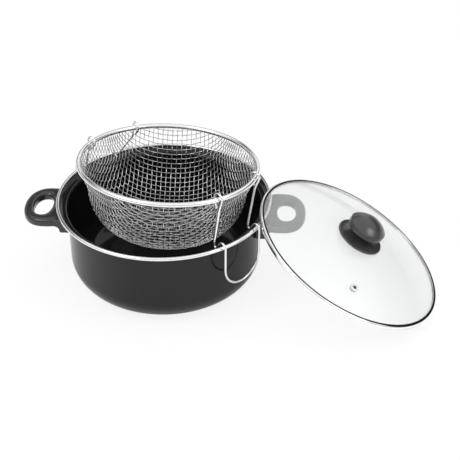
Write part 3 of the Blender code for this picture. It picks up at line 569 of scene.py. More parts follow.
def moulded(name, meshes):
    """Joins closed meshes into one soft skin and returns the mesh."""
    helpers = [bpy.data.objects.new(name, mesh) for mesh in meshes]
    for helper in helpers:
        bpy.context.scene.collection.objects.link(helper)
    first, *others = helpers
    for other in others:
        join = first.modifiers.new("join", "BOOLEAN")
        join.operation, join.object, join.solver = "UNION", other, "EXACT"
    skin = first.modifiers.new("skin", "REMESH")
    skin.mode, skin.voxel_size, skin.use_smooth_shade = "VOXEL", SKIN_VOXEL, True
    soft = first.modifiers.new("soft", "SMOOTH")
    soft.factor, soft.iterations = SKIN_SOFTNESS, SKIN_ROUNDS
    graph = bpy.context.evaluated_depsgraph_get()
    made = bpy.data.meshes.new_from_object(first.evaluated_get(graph))
    for helper in helpers:
        bpy.data.objects.remove(helper, do_unlink=True)
    made.name = name
    made.shade_smooth()
    return made


handle_skin = moulded("handle_skin", [loop_mesh(), apron_mesh()])
for side, turn in (("right", 0.0), ("left", pi)):
    moulding = handle_skin.copy()
    moulding.name = "handle_moulding_" + side
    moulding.materials.clear()
    add_piece(moulding, HANDLE_SKIN, "pot", "handle_" + side,
              Matrix.Rotation(HANDLE_AZIMUTH + turn, 4, "Z"))
print("each handle has", len(handle_skin.polygons), "faces")

# %% [markdown]
# ## Where the lid is
# The lid leans with its ring on the bead and its lower edge on the table. The frame knows where: the
# ring's box is as high as a tilted disc of its radius, so the tilt follows from the height, and the box's
# centre is the ring's centre.

# %% Lid frame from the ring's box
LID_ROOM = 0.0016
LID_RADIUS = LEDGE_OUTER_RADIUS - LID_ROOM
LID_LIP = 0.0008
LID_LIP_WIDTH = 0.0042
GLASS_SHEET = 0.0035
LID_AZIMUTH = radians(-7.5)
RING_HEIGHT = 2 * LID_LIP + GLASS_SHEET + 2 * EDGE_FIT


def lid_matrix():
    low, high = (Vector(corner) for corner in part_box("lid_rim"))
    diagonal = hypot(2 * LID_RADIUS, RING_HEIGHT)
    tilt = asin((high.z - low.z) / diagonal) - atan2(RING_HEIGHT, 2 * LID_RADIUS)
    lean = Matrix.Rotation(LID_AZIMUTH, 4, "Z") @ Matrix.Rotation(tilt, 4, "Y")
    top = (low + high) / 2 + lean @ Vector((0, 0, RING_HEIGHT / 2))
    return Matrix.Translation(top) @ lean, tilt


LID, lid_tilt = lid_matrix()
print("the lid leans by %.2f degrees" % degrees(lid_tilt))

# %% [markdown]
# ## Glass dome and steel ring
# The dome is a shallow cap of a ball with a flat edge, one even thickness of glass, bored in the middle
# for the knob's screw and near the edge for the vent. The ring is a channel rolled round the edge. Its
# upper lip is flat with rounded edges. The flat mirrors a dark patch of the studio, which is the dark line
# along the ring in the photograph, and each rounded edge gives one of the thin bright lines beside it.

# %% Glass dome
DOME_RISE = 0.0205
DOME_STEPS = 30
GLASS_BORE = 0.0032
GLASS_SHARP_ANGLE = radians(30)
GROUND_EDGE = 0.0007
EDGE_STEPS = 6


def dome_height(radius):
    flat = LID_RADIUS - LID_LIP_WIDTH
    low = -LID_LIP - EDGE_FIT
    rise = DOME_RISE - low
    ball = (flat ** 2 + rise ** 2) / (2 * rise)
    return low if radius >= flat else DOME_RISE - ball + sqrt(ball ** 2 - radius ** 2)


def glass_profile():
    span = LID_RADIUS - LID_LIP_WIDTH - GLASS_BORE
    edge = LID_RADIUS - LID_LIP - EDGE_FIT
    radii = [GLASS_BORE + span * i / DOME_STEPS for i in range(DOME_STEPS + 1)]
    upper = [(r, dome_height(r)) for r in radii]
    top, inset = dome_height(edge), edge - GROUND_EDGE
    rounded = arc((inset, top - GROUND_EDGE), GROUND_EDGE, pi / 2, 0, EDGE_STEPS)
    rounded += arc((inset, top - GLASS_SHEET + GROUND_EDGE), GROUND_EDGE, 0, -pi / 2, EDGE_STEPS)
    return upper + rounded + [(r, z - GLASS_SHEET) for r, z in upper[::-1]]


add_piece(turned("glass_dome", glass_profile(), ROUND, sharp=GLASS_SHARP_ANGLE), GLASS, "lid",
          "lid_glass", LID)
print("the dome rises", mm(DOME_RISE))

# %% Steel ring
RING_INNER_STEPS = 3
LIP_MARGIN = LID_LIP / 8


def ring_profile():
    """A channel that is open inwards; the margins keep the shading of its flat lip flat."""
    inner = LID_RADIUS - LID_LIP_WIDTH
    soft = GROUND_EDGE + EDGE_FIT + LID_LIP
    shoulder = LID_RADIUS - soft
    low = -RING_HEIGHT
    lip = LID_LIP / 2
    outside = arc((inner, -lip), lip, -pi / 2, -3 * pi / 2, EDGE_STEPS)
    outside += [(inner + LIP_MARGIN, 0), (shoulder - LIP_MARGIN, 0)]
    outside += arc((shoulder, -soft), soft, pi / 2, 0, EDGE_STEPS)
    outside += arc((shoulder, low + soft), soft, 0, -pi / 2, EDGE_STEPS)
    outside += arc((inner, low + lip), lip, -pi / 2, -3 * pi / 2, EDGE_STEPS)
    bend = soft - LID_LIP
    inside = arc((shoulder, low + LID_LIP + bend), bend, -pi / 2, 0, RING_INNER_STEPS)
    inside += arc((shoulder, -LID_LIP - bend), bend, 0, pi / 2, RING_INNER_STEPS)
    return outside + inside


add_piece(turned("lid_ring", ring_profile(), ROUND), RING, "lid", "lid_rim", LID)
print("the ring is", mm(RING_HEIGHT), "deep")

# %% Vent eyelet
VENT_INSET = 0.037
VENT_PLACE = LID_RADIUS - VENT_INSET
VENT_AZIMUTH = radians(-88)
VENT_BORE = 0.0017
VENT_TUBE = 0.0011
VENT_FLANGE_RADIUS = 0.0043
VENT_FLANGE = 0.0009
VENT_STEPS = 5
# Painted shade: the near black that the vent's bore is coloured with.
PAINTED_BORE_SHADE = (0.02, 0.02, 0.02)
EYELET_GREY = (0.80, 0.80, 0.80)
EYELET_SMOOTH = 0.10
EYELET_SWING = 0.12


def vent_matrix():
    rise = dome_height(VENT_PLACE + VENT_BORE) - dome_height(VENT_PLACE - VENT_BORE)
    place = Vector((VENT_PLACE, 0, dome_height(VENT_PLACE)))
    return (LID @ Matrix.Rotation(VENT_AZIMUTH, 4, "Z") @ Matrix.Translation(place)
            @ Matrix.Rotation(-atan2(rise, 2 * VENT_BORE), 4, "Y"))


def vent_profile():
    tube = VENT_BORE + VENT_TUBE
    low = -GLASS_SHEET - EDGE_FIT
    soft = VENT_FLANGE / 2
    top = arc((VENT_BORE + soft, VENT_FLANGE - soft), soft, pi, pi / 2, VENT_STEPS)
    top += arc((VENT_FLANGE_RADIUS - soft, VENT_FLANGE - soft), soft, pi / 2, 0, VENT_STEPS)
    under = [(r, low - z) for r, z in reversed(top)]
    return top + [(VENT_FLANGE_RADIUS, EDGE_FIT), (tube, EDGE_FIT), (tube, low),
                  (VENT_FLANGE_RADIUS, low)] + under


def eyelet_steel(matrix, bore):
    """Bright steel whose bore, by which the steam leaves, is painted near black as its shade."""
    made = Finish("eyelet_steel")
    centre, axis = tuple(matrix.translation), tuple(matrix.col[2].xyz)
    away = made.node("ShaderNodeVectorMath", {"operation": "SUBTRACT"}, {0: made.place(), 1: centre})
    across = made.node("ShaderNodeVectorMath", {"operation": "CROSS_PRODUCT"}, {0: away, 1: axis})
    radius = made.node("ShaderNodeVectorMath", {"operation": "LENGTH"}, {0: across}, "Value")
    drawn = made.noise(scale=300, detail=4)
    # Painted shade: inside the bore's radius the colour turns near black, standing in for the hole's
    # shadow.
    made.set(Base_Color=made.blend(radius.above(bore), PAINTED_BORE_SHADE, EYELET_GREY),
             Roughness=EYELET_SMOOTH + drawn * EYELET_SWING, Metallic=1.0)
    return made.owner


VENT = vent_matrix()
add_piece(turned("vent_eyelet", vent_profile(), SMALL_ROUND),
          eyelet_steel(VENT, VENT_BORE + VENT_FLANGE / 2), "lid", "vent_grommet", VENT)
print("the eyelet is", mm(2 * VENT_FLANGE_RADIUS), "across")

# %% [markdown]
# ## Knob
# The knob is two mouldings on one screw: a dished skirt that shields the hand from the glass, and a cap
# shaped like a mushroom with a parting line low on its edge. Both are turned shapes, so the profile does
# all the work, and the parting line is a real groove.

# %% Knob skirt
STEM_RADIUS = 0.0115
SCREW_BORE = 0.0024
SKIRT_RADIUS = 0.0285
SKIRT_EDGE = 0.0024
SKIRT_RISE = 0.0042
SKIRT_EDGE_STEPS = 8
SKIRT_STEPS = 10
SKIRT_POWER = 2.2
SKIRT_LOW = dome_height(SKIRT_RADIUS) + 2 * EDGE_FIT
SKIRT_TOP = SKIRT_LOW + SKIRT_EDGE + SKIRT_RISE


def skirt_profile():
    seat = DOME_RISE + EDGE_FIT
    soft = SKIRT_EDGE / 2
    edge = arc((SKIRT_RADIUS - soft, SKIRT_LOW + soft), soft, -pi / 2, pi / 2, SKIRT_EDGE_STEPS)
    run = SKIRT_RADIUS - soft - STEM_RADIUS
    shares = [i / SKIRT_STEPS for i in range(1, SKIRT_STEPS + 1)]
    bow = [(STEM_RADIUS + run * (1 - share), SKIRT_LOW + SKIRT_EDGE + SKIRT_RISE * share ** SKIRT_POWER)
           for share in shares]
    return [(SCREW_BORE, seat), (STEM_RADIUS, seat)] + edge + bow + [(SCREW_BORE, SKIRT_TOP)]


add_piece(turned("knob_skirt", skirt_profile(), SMALL_ROUND), KNOB_SKIN, "lid", "knob_base",
          LID)
print("the skirt is", mm(2 * SKIRT_RADIUS), "across")

# %% Knob cap
# The shares are of a radius and a height. A third one says how much of the groove is cut there.
KNOB_RADIUS = 0.0228
KNOB_TOP = 0.0495
KNOB_UNDERSIDE = 0.032
KNOB_EDGE = 0.008
KNOB_SOCKET = 0.011
GROOVE = 0.0003
STEM_SHARES = ((1.0, 0.0), (0.9, 0.25), (0.9, 0.6))
STEM_FLARE_SHARE = 1.1
EDGE_SHARES = ((0.86, 0.0, 0), (0.95, 0.08, 0), (0.985, 0.22, 0), (0.99, 0.27, 1), (0.995, 0.34, 0),
               (1.0, 0.6, 0))
CROWN_SHARES = (0.99, 0.97, 0.94, 0.9, 0.84, 0.76, 0.66, 0.54, 0.4, 0.25, 0.12)
CROWN_POWER = 2.6


def knob_profile():
    """From the socket for the insert, down its wall and up round the stem, the edge and the crown."""
    foot = SKIRT_TOP + EDGE_FIT
    stem_height, crown_height = KNOB_UNDERSIDE - foot, KNOB_TOP - KNOB_UNDERSIDE - KNOB_EDGE
    socket = [(0, foot + KNOB_SOCKET), (SCREW_BORE, foot + KNOB_SOCKET), (SCREW_BORE, foot)]
    stem = [(STEM_RADIUS * out, foot + stem_height * up) for out, up in STEM_SHARES]
    flare = [(STEM_RADIUS * STEM_FLARE_SHARE, KNOB_UNDERSIDE - EDGE_FIT)]
    edge = [(KNOB_RADIUS * out - GROOVE * cut, KNOB_UNDERSIDE + KNOB_EDGE * up)
            for out, up, cut in EDGE_SHARES]
    crown = [(KNOB_RADIUS * share, KNOB_TOP - crown_height * share ** CROWN_POWER)
             for share in CROWN_SHARES]
    return socket + stem + flare + edge + crown + [(0, KNOB_TOP)]


add_piece(turned("knob_cap", knob_profile(), SMALL_ROUND, closed=False), KNOB_SKIN, "lid", "knob",
          LID)
print("the knob stands", mm(KNOB_TOP), "above the ring")

# %% [markdown]
# ## Finishes for the small parts that stay
# The screws, brackets, washer, gasket and insert keep their CAD shape: they are mostly hidden, and their
# shape is right. They only get a better material.

# %% Finishes on kept nodes
KEPT = {"handle_bracket_left": STEEL, "handle_bracket_right": STEEL, "handle_screw_left": STEEL,
        "handle_screw_right": STEEL, "knob_screw": STEEL, "knob_washer": STEEL, "knob_gasket": SEAL,
        "knob_insert": BRASS}
for node, finish in KEPT.items():
    for material_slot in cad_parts[node].material_slots:
        material_slot.material = finish
print("dressed", len(KEPT), "kept nodes")

# %% [markdown]
# ## Basket rim
# The basket's rim is a steel tube bent into a ring. The basket is raised on its bails and leans a few
# degrees, so all its pieces are made level first and share one placing matrix.

# %% Basket rim tube
TUBE_RADIUS = 0.003
TUBE_STEPS = 24
BASKET_ROOM = 0.0072
BASKET_RADIUS = WALL_RADIUS - SHEET - BASKET_ROOM - TUBE_RADIUS
BASKET_PLACE = Vector((0.0067, -0.0007, 0.1526))
BASKET_LEAN = radians(5.6)
BASKET_LEAN_AZIMUTH = radians(57)
BASKET_TURN = Matrix.Rotation(BASKET_LEAN, 4,
                              Vector((-sin(BASKET_LEAN_AZIMUTH), cos(BASKET_LEAN_AZIMUTH), 0)))
BASKET = Matrix.Translation(BASKET_PLACE) @ BASKET_TURN

tube_profile = arc((BASKET_RADIUS, 0), TUBE_RADIUS, 0, 2 * pi, TUBE_STEPS)[:-1]
add_piece(turned("basket_rim_tube", tube_profile, ROUND), TUBE, "basket", "basket_rim", BASKET)
print("the basket's rim is", mm(2 * (BASKET_RADIUS + TUBE_RADIUS)), "across")

# %% [markdown]
# ## Bails
# Each bail is one wire with a sleeve-like eye on the basket's tube at each end, a step hook that stands on
# the pot's ledge and rides over the bead, and a loop for the fingers outside. The path is worked out from
# the tube, the ledge and the bead, as a bending jig would be set, with fine steps in each bend.

# %% Step hooks
WIRE_RADIUS = 0.0013
BEND_STEPS = 14
HOOK_SPAN = 0.0545
HOOK_SLOPE = radians(55)
HOOK_OFFSET = 0.003
HOOK_RUN = 0.0045
CREST_RISE = 0.0055
CREST_BEND = 0.0046
CURL_BEND = 0.0022
OUTER_PLACE = sqrt(RIM_RADIUS ** 2 - (HOOK_SPAN / 2) ** 2) + HOOK_OFFSET + WIRE_RADIUS


def bail_axes(azimuth):
    return Vector((cos(azimuth), sin(azimuth), 0)), Vector((-sin(azimuth), cos(azimuth), 0))


def hook_points(azimuth, side):
    """Down into the curl on the ledge, up its slope, over the crest and down outside the bead."""
    out, across = bail_axes(azimuth)
    crest = (OUTER_PLACE - CREST_BEND, POT_HEIGHT + CREST_RISE - CREST_BEND)
    over = arc(crest, CREST_BEND, pi / 2 + HOOK_SLOPE, 0, BEND_STEPS)
    low = LEDGE_Z + EDGE_FIT + WIRE_RADIUS
    turn = HOOK_SLOPE - pi / 2
    rise = over[0][1] - (low + CURL_BEND + CURL_BEND * sin(turn))
    middle = over[0][0] - rise / tan(HOOK_SLOPE) - CURL_BEND * cos(turn)
    under = arc((middle, low + CURL_BEND), CURL_BEND, -pi, turn, BEND_STEPS)
    line = [(middle - CURL_BEND, low + CURL_BEND + HOOK_RUN)] + under + over
    return [out * d + across * side * HOOK_SPAN / 2 + Vector((0, 0, z)) for d, z in line]


print("a hook's crest stands", mm(CREST_RISE), "above the pot")

# %% Eyes on the tube
EYE_TAIL = 0.013
EYE_LIFT = 0.0017
EYE_CLEARANCE = 0.0006
EYE_END_SHARE = 0.78
EYE_NECK_SHARE = 0.12


def eye_points(eye, tangent, foot, side):
    """From the wire's end round the tube, and down towards the hook's foot."""
    up = eye - foot
    up = (up - up.project(tangent)).normalized()
    out = tangent.cross(up).normalized()
    if out.dot(Vector((eye.x, eye.y, 0))) < 0:
        out = -out
    half_angle = asin((TUBE_RADIUS + WIRE_RADIUS + EYE_CLEARANCE) / EYE_TAIL)
    radius = (EYE_TAIL + EYE_LIFT) * sin(half_angle)
    apex = eye - up * EYE_TAIL
    middle = eye + up * EYE_LIFT
    shift = tangent * side * (2 * WIRE_RADIUS + EDGE_FIT)
    steps = 2 * BEND_STEPS
    turns = [pi + half_angle - (pi + 2 * half_angle) * i / steps for i in range(steps + 1)]
    bow = [middle + out * radius * cos(a) + up * radius * sin(a) for a in turns]
    path = [bow[0].lerp(apex, EYE_END_SHARE)] + bow
    path = [point + shift * (1 - i / (len(path) - 1)) for i, point in enumerate(path)]
    return path + [apex.lerp(bow[-1], EYE_NECK_SHARE), apex - up * WIRE_RADIUS]


print("an eye reaches", mm(EYE_TAIL), "below the tube's middle")

# %% Bail path
RIGHT_EYES_AZIMUTH = radians(-35.8)
RIGHT_HOOKS_AZIMUTH = radians(-44.3)
LEFT_EYES_AZIMUTH = radians(136.3)
LEFT_HOOKS_AZIMUTH = radians(137.3)
EYE_SPREAD = radians(19.2)
LOOP_BOTTOM = 0.056


def bail_side(eyes_azimuth, hooks_azimuth, side):
    azimuth = eyes_azimuth + side * EYE_SPREAD
    eye = BASKET @ Vector((BASKET_RADIUS * cos(azimuth), BASKET_RADIUS * sin(azimuth), 0))
    tangent = (BASKET_TURN @ Vector((-sin(azimuth), cos(azimuth), 0))).normalized()
    hook = hook_points(hooks_azimuth, side)
    return eye_points(eye, tangent, hook[0], side) + hook


def loop_points(azimuth):
    """The finger loop outside the wall is a half circle between the two hooks."""
    out, across = bail_axes(azimuth)
    half = HOOK_SPAN / 2
    bow = arc((0, POT_HEIGHT - LOOP_BOTTOM + half), half, -pi, 0, 4 * BEND_STEPS)
    return [out * OUTER_PLACE + across * t + Vector((0, 0, z)) for t, z in bow]


def bail_path(eyes, hooks):
    first, second = (bail_side(eyes, hooks, side) for side in (-1, 1))
    return first + loop_points(hooks) + second[::-1]


bail_paths = {"right": bail_path(RIGHT_EYES_AZIMUTH, RIGHT_HOOKS_AZIMUTH),
              "left": bail_path(LEFT_EYES_AZIMUTH, LEFT_HOOKS_AZIMUTH)}
for side, path in bail_paths.items():
    wire_length = sum((after - before).length for before, after in zip(path, path[1:]))
    print("the", side, "bail is bent from", mm(wire_length), "of wire")

# %% Bail wires
BAIL_FINENESS = 5


def wire_curve(name, paths, radius, fineness):
    """Round wires along paths, with filled ends."""
    curve = bpy.data.curves.new(name, "CURVE")
    curve.dimensions = "3D"
    curve.bevel_depth = radius
    curve.bevel_resolution = fineness
    curve.use_fill_caps = True
    for path in paths:
        spline = curve.splines.new("POLY")
        spline.points.add(len(path) - 1)
        spline.use_smooth = True
        for point, place in zip(spline.points, path):
            point.co = (*place, 1)
    return curve


for side, path in bail_paths.items():
    bail = wire_curve("bail_wire_" + side, [path], WIRE_RADIUS, BAIL_FINENESS)
    add_piece(bail, WIRE, "bail_" + side, "bail_" + side)
print("a bail wire is", mm(2 * WIRE_RADIUS), "thick")

# %% [markdown]
# ## The woven bowl
# The bowl was a flat square mesh, pressed over a former. Woven wire can't stretch, but its squares can
# shear into diamonds, so the pressed mesh is a fisherman's net: every cell side keeps its length. We
# build that net. Two wires cross at the bottom and run straight up the bowl; each further crossing lies
# one pitch from its two neighbours, and a few Newton steps find it on the bowl. The cells stay square
# along the two main wires and shear between them, as the photograph shows.

# %% The bowl's meridian
BASKET_DEPTH = 0.086
BOWL_INSET = 0.0017
BOWL_TAPER = 0.0114
BOWL_TOP_RADIUS = BASKET_RADIUS - BOWL_INSET
BOWL_SHOULDER_RADIUS = BASKET_RADIUS - BOWL_TAPER
BOWL_BEND = 0.054
BOWL_FLAT_STEPS = 20
BOWL_BEND_STEPS = 80
BOWL_SIDE_STEPS = 30
BOWL_LIP_SHARE = 0.6
BOWL_EASED_SHARE = 0.9


def bowl_meridian():
    """Points from the middle of the bottom up to the rim tube: a flat, a bend and a flared side."""
    corner = BOWL_SHOULDER_RADIUS - BOWL_BEND
    line = [(corner * i / BOWL_FLAT_STEPS, -BASKET_DEPTH) for i in range(BOWL_FLAT_STEPS)]
    line += arc((corner, BOWL_BEND - BASKET_DEPTH), BOWL_BEND, -pi / 2, 0, BOWL_BEND_STEPS)
    radius, low = line[-1]
    flare, rise = BOWL_TOP_RADIUS - BOWL_LIP_SHARE * TUBE_RADIUS - radius, -2 * TUBE_RADIUS - low
    for i in range(1, BOWL_SIDE_STEPS + 1):
        share = i / BOWL_SIDE_STEPS
        eased = 3 * share ** 2 - 2 * share ** 3
        out = eased * BOWL_EASED_SHARE + share * (1 - BOWL_EASED_SHARE)
        line.append((radius + flare * out, low + rise * share))
    return line + [(BOWL_TOP_RADIUS, 0.0)]


MERIDIAN = bowl_meridian()
LENGTHS = [0.0]
for (r0, z0), (r1, z1) in zip(MERIDIAN, MERIDIAN[1:]):
    LENGTHS.append(LENGTHS[-1] + hypot(r1 - r0, z1 - z0))
print("from the bottom to the rim the wire runs", mm(LENGTHS[-1]))

# %% Points on the bowl
# A place on the bowl is given by a flat point (a, b): its direction from the middle, and its distance
# from there as measured along the meridian.
AT_MIDDLE = 1e-9


def on_meridian(length):
    """Radius, height and slope at a length along the meridian; it runs on straight past the rim."""
    low = min(bisect_right(LENGTHS, length), len(LENGTHS) - 1) - 1
    (r0, z0), (r1, z1) = MERIDIAN[low], MERIDIAN[low + 1]
    span = LENGTHS[low + 1] - LENGTHS[low]
    share = (length - LENGTHS[low]) / span
    return r0 + (r1 - r0) * share, z0 + (z1 - z0) * share, (r1 - r0) / span, (z1 - z0) / span


def on_bowl(a, b):
    length = hypot(a, b)
    r, z, _, _ = on_meridian(length)
    scale = r / length if length > AT_MIDDLE else 1.0
    return Vector((a * scale, b * scale, z))


def bowl_normal(a, b):
    length = hypot(a, b)
    _, _, slope_r, slope_z = on_meridian(length)
    if length < AT_MIDDLE:
        return Vector((0, 0, -1))
    return Vector((a / length * slope_z, b / length * slope_z, -slope_r)).normalized()


print("halfway along the wire the bowl's radius is", mm(on_meridian(LENGTHS[-1] / 2)[0]))

# %% The net of crossings
PITCH = 0.0061
OVERSHOOT = 1.06
SHEARED_CELLS = 40
NEWTON_STEPS = 12
NUDGE = 1e-6
NEAR_ENOUGH = 1e-8
SINGULAR = 1e-3


def crossing(left, below, corner):
    """The point one pitch from two neighbours, on the side away from the corner, or None."""
    a, b = left[0] + below[0] - corner[0], left[1] + below[1] - corner[1]
    ends = on_bowl(*left), on_bowl(*below)

    def misses(a, b):
        here = on_bowl(a, b)
        return [(here - end).length - PITCH for end in ends]

    for _ in range(NEWTON_STEPS):
        miss = misses(a, b)
        if abs(miss[0]) + abs(miss[1]) < NEAR_ENOUGH:
            return a, b
        by_a = [(new - old) / NUDGE for new, old in zip(misses(a + NUDGE, b), miss)]
        by_b = [(new - old) / NUDGE for new, old in zip(misses(a, b + NUDGE), miss)]
        determinant = by_a[0] * by_b[1] - by_b[0] * by_a[1]
        if abs(determinant) < SINGULAR:
            return None
        a -= max(-PITCH, min(PITCH, (miss[0] * by_b[1] - miss[1] * by_b[0]) / determinant))
        b -= max(-PITCH, min(PITCH, (miss[1] * by_a[0] - miss[0] * by_a[1]) / determinant))
    return None


def net():
    """Crossings of one quarter of the mesh, up to just past the rim."""
    limit = LENGTHS[-1] * OVERSHOOT
    count = ceil(limit / PITCH)
    grid = {}
    for i in range(count + 1):
        grid[i, 0] = (i * PITCH, 0.0)
        grid[0, i] = (0.0, i * PITCH)
    for i in range(1, count + SHEARED_CELLS):
        for j in range(1, count + SHEARED_CELLS):
            left, below, corner = grid.get((i - 1, j)), grid.get((i, j - 1)), grid.get((i - 1, j - 1))
            if not (left and below and corner):
                continue
            if hypot(*left) > limit and hypot(*below) > limit:
                continue
            made = crossing(left, below, corner)
            if made:
                grid[i, j] = made
    return grid


quarter = net()
WIRES_OUT = max(max(pair) for pair in quarter)
print("the net has", len(quarter), "crossings in a quarter, and", WIRES_OUT, "wires beside the main one")

# %% Over and under
MESH_WIRE_RADIUS = 0.00047
CELL_STEPS = 3


def mirrored(i, j):
    """The crossing of two wires in any quarter, or None outside the net."""
    place = quarter.get((abs(i), abs(j)))
    if place is None:
        return None
    return place[0] * (1 if i >= 0 else -1), place[1] * (1 if j >= 0 else -1)


def weave_height(i, j, first):
    """1 where this wire goes over, and -1 where it goes under."""
    return (1 if (i + j) % 2 == 0 else -1) * (1 if first else -1)


def strand(fixed, first):
    """One wire of the weave: crossings joined by a cosine that goes over one wire and under the next."""
    points = []
    for k in range(-WIRES_OUT, WIRES_OUT):
        here = (fixed, k) if first else (k, fixed)
        after = (fixed, k + 1) if first else (k + 1, fixed)
        p, q = mirrored(*here), mirrored(*after)
        if p is None or q is None:
            continue
        start = weave_height(*here, first)
        for share in (i / CELL_STEPS for i in range(CELL_STEPS)):
            a, b = p[0] + (q[0] - p[0]) * share, p[1] + (q[1] - p[1]) * share
            height = start * cos(pi * share) * MESH_WIRE_RADIUS
            points.append(on_bowl(a, b) + bowl_normal(a, b) * height)
    return points


print("the woven wire is", mm(2 * MESH_WIRE_RADIUS), "thick")

# %% Trimming at the rim and round the eyes
# Only the fine steps of an eye's bow push wires aside. Its straight stretches have longer steps, and so
# does the jump from one eye to the next in the list.
UNDER_RIM = -0.0012
CLEAR_OF_BAIL = 0.0027
EYE_ZONE = 0.03
BOW_STEP = 0.01
DEAD_CENTRE = 1e-5

into_basket = BASKET.inverted()
eye_wires = [into_basket @ point for path in bail_paths.values() for point in path
             if point.z > BASKET_PLACE.z - EYE_ZONE]


def below_rim(points):
    """The stretches of a wire that lie below the rim tube."""
    runs, run = [], []
    for point in points:
        if point.z < UNDER_RIM and hypot(point.x, point.y) < BASKET_RADIUS:
            run.append(point)
        elif run:
            runs.append(run)
            run = []
    runs.append(run)
    return [run for run in runs if len(run) > 2]


def pushed_aside(point):
    """Wires near a bail's eye are bent aside by it, as the fitter does."""
    for a, b in zip(eye_wires, eye_wires[1:]):
        if (a - b).length > BOW_STEP:
            continue
        along = b - a
        share = max(0.0, min(1.0, (point - a).dot(along) / along.length_squared))
        away = point - (a + along * share)
        if away.length < CLEAR_OF_BAIL:
            normal = Vector((point.x, point.y, 0)).normalized()
            flat = away - away.project(normal)
            if flat.length < DEAD_CENTRE:
                flat = Vector((-normal.y, normal.x, 0))
            point = point + flat.normalized() * (CLEAR_OF_BAIL - away.length)
    return point


print("the mesh keeps", mm(CLEAR_OF_BAIL), "from the middle of a bail's wire")

# %% The woven piece
MESH_FINENESS = 1

strands = [[pushed_aside(point) for point in run]
           for fixed in range(-WIRES_OUT, WIRES_OUT + 1)
           for first in (True, False)
           for run in below_rim(strand(fixed, first))]
woven = wire_curve("woven_bowl", strands, MESH_WIRE_RADIUS, MESH_FINENESS)
add_piece(woven, MESH, "basket", "basket_mesh", BASKET)
print("the bowl is woven from", len(strands), "wires with", sum(len(wire) for wire in strands), "points")

# %% [markdown]
# ## Studio
# The photograph is a product shot on pure white, with hardly a shadow. The floor and the world show white
# to the camera and through glass, while the light that falls on the pot stays moderate. Mirrors see the
# floor mostly as it is lit, with the pot's own shadow on it, so the pot's lower edge stays dark. Bright
# metal only reads as metal if it has something dark to mirror, so the world that mirrors see has dark
# bands between bright ones, as a light tent with gaps has. The bands in front of the pot differ from
# those behind it, which change again from left to right, as the glints in the photograph do.

# %% White floor
WHITE = (1.0, 1.0, 1.0)
FLOOR_SIZE = 6.0
FLOOR_DROP = 0.0004
FLOOR_GREY = (0.9, 0.9, 0.9)
FLOOR_ROUGHNESS = 0.9
FLOOR_GLOW_SHARE = 0.86
MIRRORED_GLOW_SHARE = 0.2


def floor_finish():
    """Matt, with a white glow that only the camera, mirrors and glass see."""
    made = Finish("white_floor")
    made.set(Base_Color=FLOOR_GREY, Roughness=FLOOR_ROUGHNESS)
    seen, glossy, through = made.rays()
    share = (seen + through) * FLOOR_GLOW_SHARE + glossy * MIRRORED_GLOW_SHARE
    made.show(made.mix(share, made.own, made.node("ShaderNodeEmission", {}, {"Color": WHITE})))
    return made.owner


def floor_piece():
    half = FLOOR_SIZE / 2
    outline = ((-half, -half), (half, -half), (half, half), (-half, half))
    corners = [(x, y, -FLOOR_DROP) for x, y in outline]
    mesh = bpy.data.meshes.new("floor")
    mesh.from_pydata(corners, [], [(0, 1, 2, 3)])
    mesh.materials.append(floor_finish())
    floor = bpy.data.objects.new("floor", mesh)
    bpy.context.scene.collection.objects.link(floor)


floor_piece()
print("the floor is %.0f m wide" % FLOOR_SIZE)

# %% Bands of the world
# A direction's height runs from -1, straight down, to 1, straight up. X runs to the right and Y away from
# the camera, and each pair below gives where one side's bands give way to the next.
RIGHT_FROM = (0.06, 0.20)
FAR_RIGHT_FROM = (0.40, 0.50)
BEHIND_FROM = (-0.15, 0.25)


def ramp_place(height):
    return height * 0.5 + 0.5


def grey_stops(*pairs):
    """Ramp stops from pairs of a direction's height and a grey."""
    return tuple((ramp_place(height), (grey, grey, grey)) for height, grey in pairs)


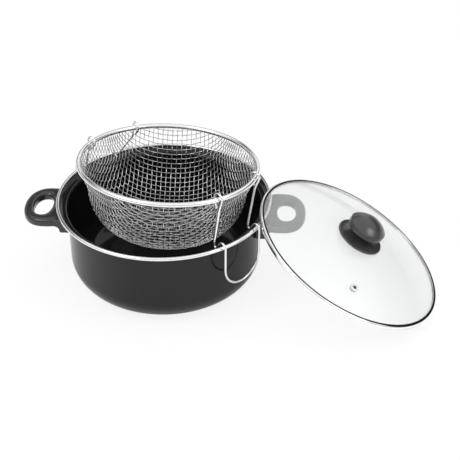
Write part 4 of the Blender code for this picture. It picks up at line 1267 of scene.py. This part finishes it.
LIGHT_STOPS = grey_stops((0.0, 0.10), (0.4, 0.16), (0.9, 1.0))
FRONT_STOPS = grey_stops((-0.05, 0.9), (0.0, 0.16), (0.15, 0.16), (0.30, 1.0))
LEFT_STOPS = grey_stops((-0.05, 0.9), (0.0, 0.06), (0.20, 0.06), (0.27, 0.95), (0.42, 0.95),
                        (0.48, 0.04), (0.62, 0.04), (0.70, 1.0))
RIGHT_STOPS = grey_stops((-0.05, 0.9), (0.0, 0.06), (0.06, 0.06), (0.13, 1.0))
FAR_RIGHT_STOPS = grey_stops((-0.05, 0.9), (0.05, 0.88), (0.11, 0.02), (0.42, 0.02), (0.46, 1.0))
print("to the left behind the pot, mirrors see", len(LEFT_STOPS), "stops of grey")

# %% World
WORLD_LIGHT = 1.6


def studio_world():
    sky = Finish("studio", bpy.data.worlds)
    direction = sky.node("ShaderNodeTexCoord", output="Generated")

    def part(axis):
        return sky.node("ShaderNodeSeparateXYZ", {}, {"Vector": direction}, axis)

    def past(axis, low, high):
        return sky.node("ShaderNodeMapRange", {"interpolation_type": "SMOOTHSTEP"},
                        {"Value": part(axis), "From Min": low, "From Max": high})

    height = ramp_place(part("Z"))
    lit, front, left, right, far_right = (
        sky.node("ShaderNodeValToRGB", {"stops": stops}, {0: height})
        for stops in (LIGHT_STOPS, FRONT_STOPS, LEFT_STOPS, RIGHT_STOPS, FAR_RIGHT_STOPS))
    to_right = sky.blend(past("X", *FAR_RIGHT_FROM), right, far_right)
    behind = sky.blend(past("X", *RIGHT_FROM), left, to_right)
    bands = sky.blend(past("Y", *BEHIND_FROM), front, behind)
    sky.set(Color=lit, Strength=WORLD_LIGHT)
    mirrored_light = sky.node("ShaderNodeBackground", {}, {"Color": bands})
    white_light = sky.node("ShaderNodeBackground", {}, {"Color": WHITE})
    seen, glossy, through = sky.rays()
    sky.show(sky.mix(seen + through, sky.mix(glossy, sky.own, mirrored_light), white_light))
    return sky.owner


bpy.context.scene.world = studio_world()
print("the world lights the pot at", WORLD_LIGHT)

# %% Lamps
# Each lamp is given by its place, its size and its power.
LAMPS = {"key_softbox": ((-0.9, -0.7, 1.5), 0.9, 9.0), "fill_softbox": ((1.2, -0.5, 1.1), 0.8, 5.0)}
AIM = Vector((0.05, 0.0, 0.08))
for name, (place, size, power) in LAMPS.items():
    light = bpy.data.lights.new(name, "AREA")
    light.shape, light.size, light.energy = "DISK", size, power
    lamp = bpy.data.objects.new(name, light)
    bpy.context.scene.collection.objects.link(lamp)
    lamp.location = place
    lamp.rotation_euler = (Vector(place) - AIM).to_track_quat("Z", "Y").to_euler()
print("lit by", len(LAMPS), "softboxes and the world")
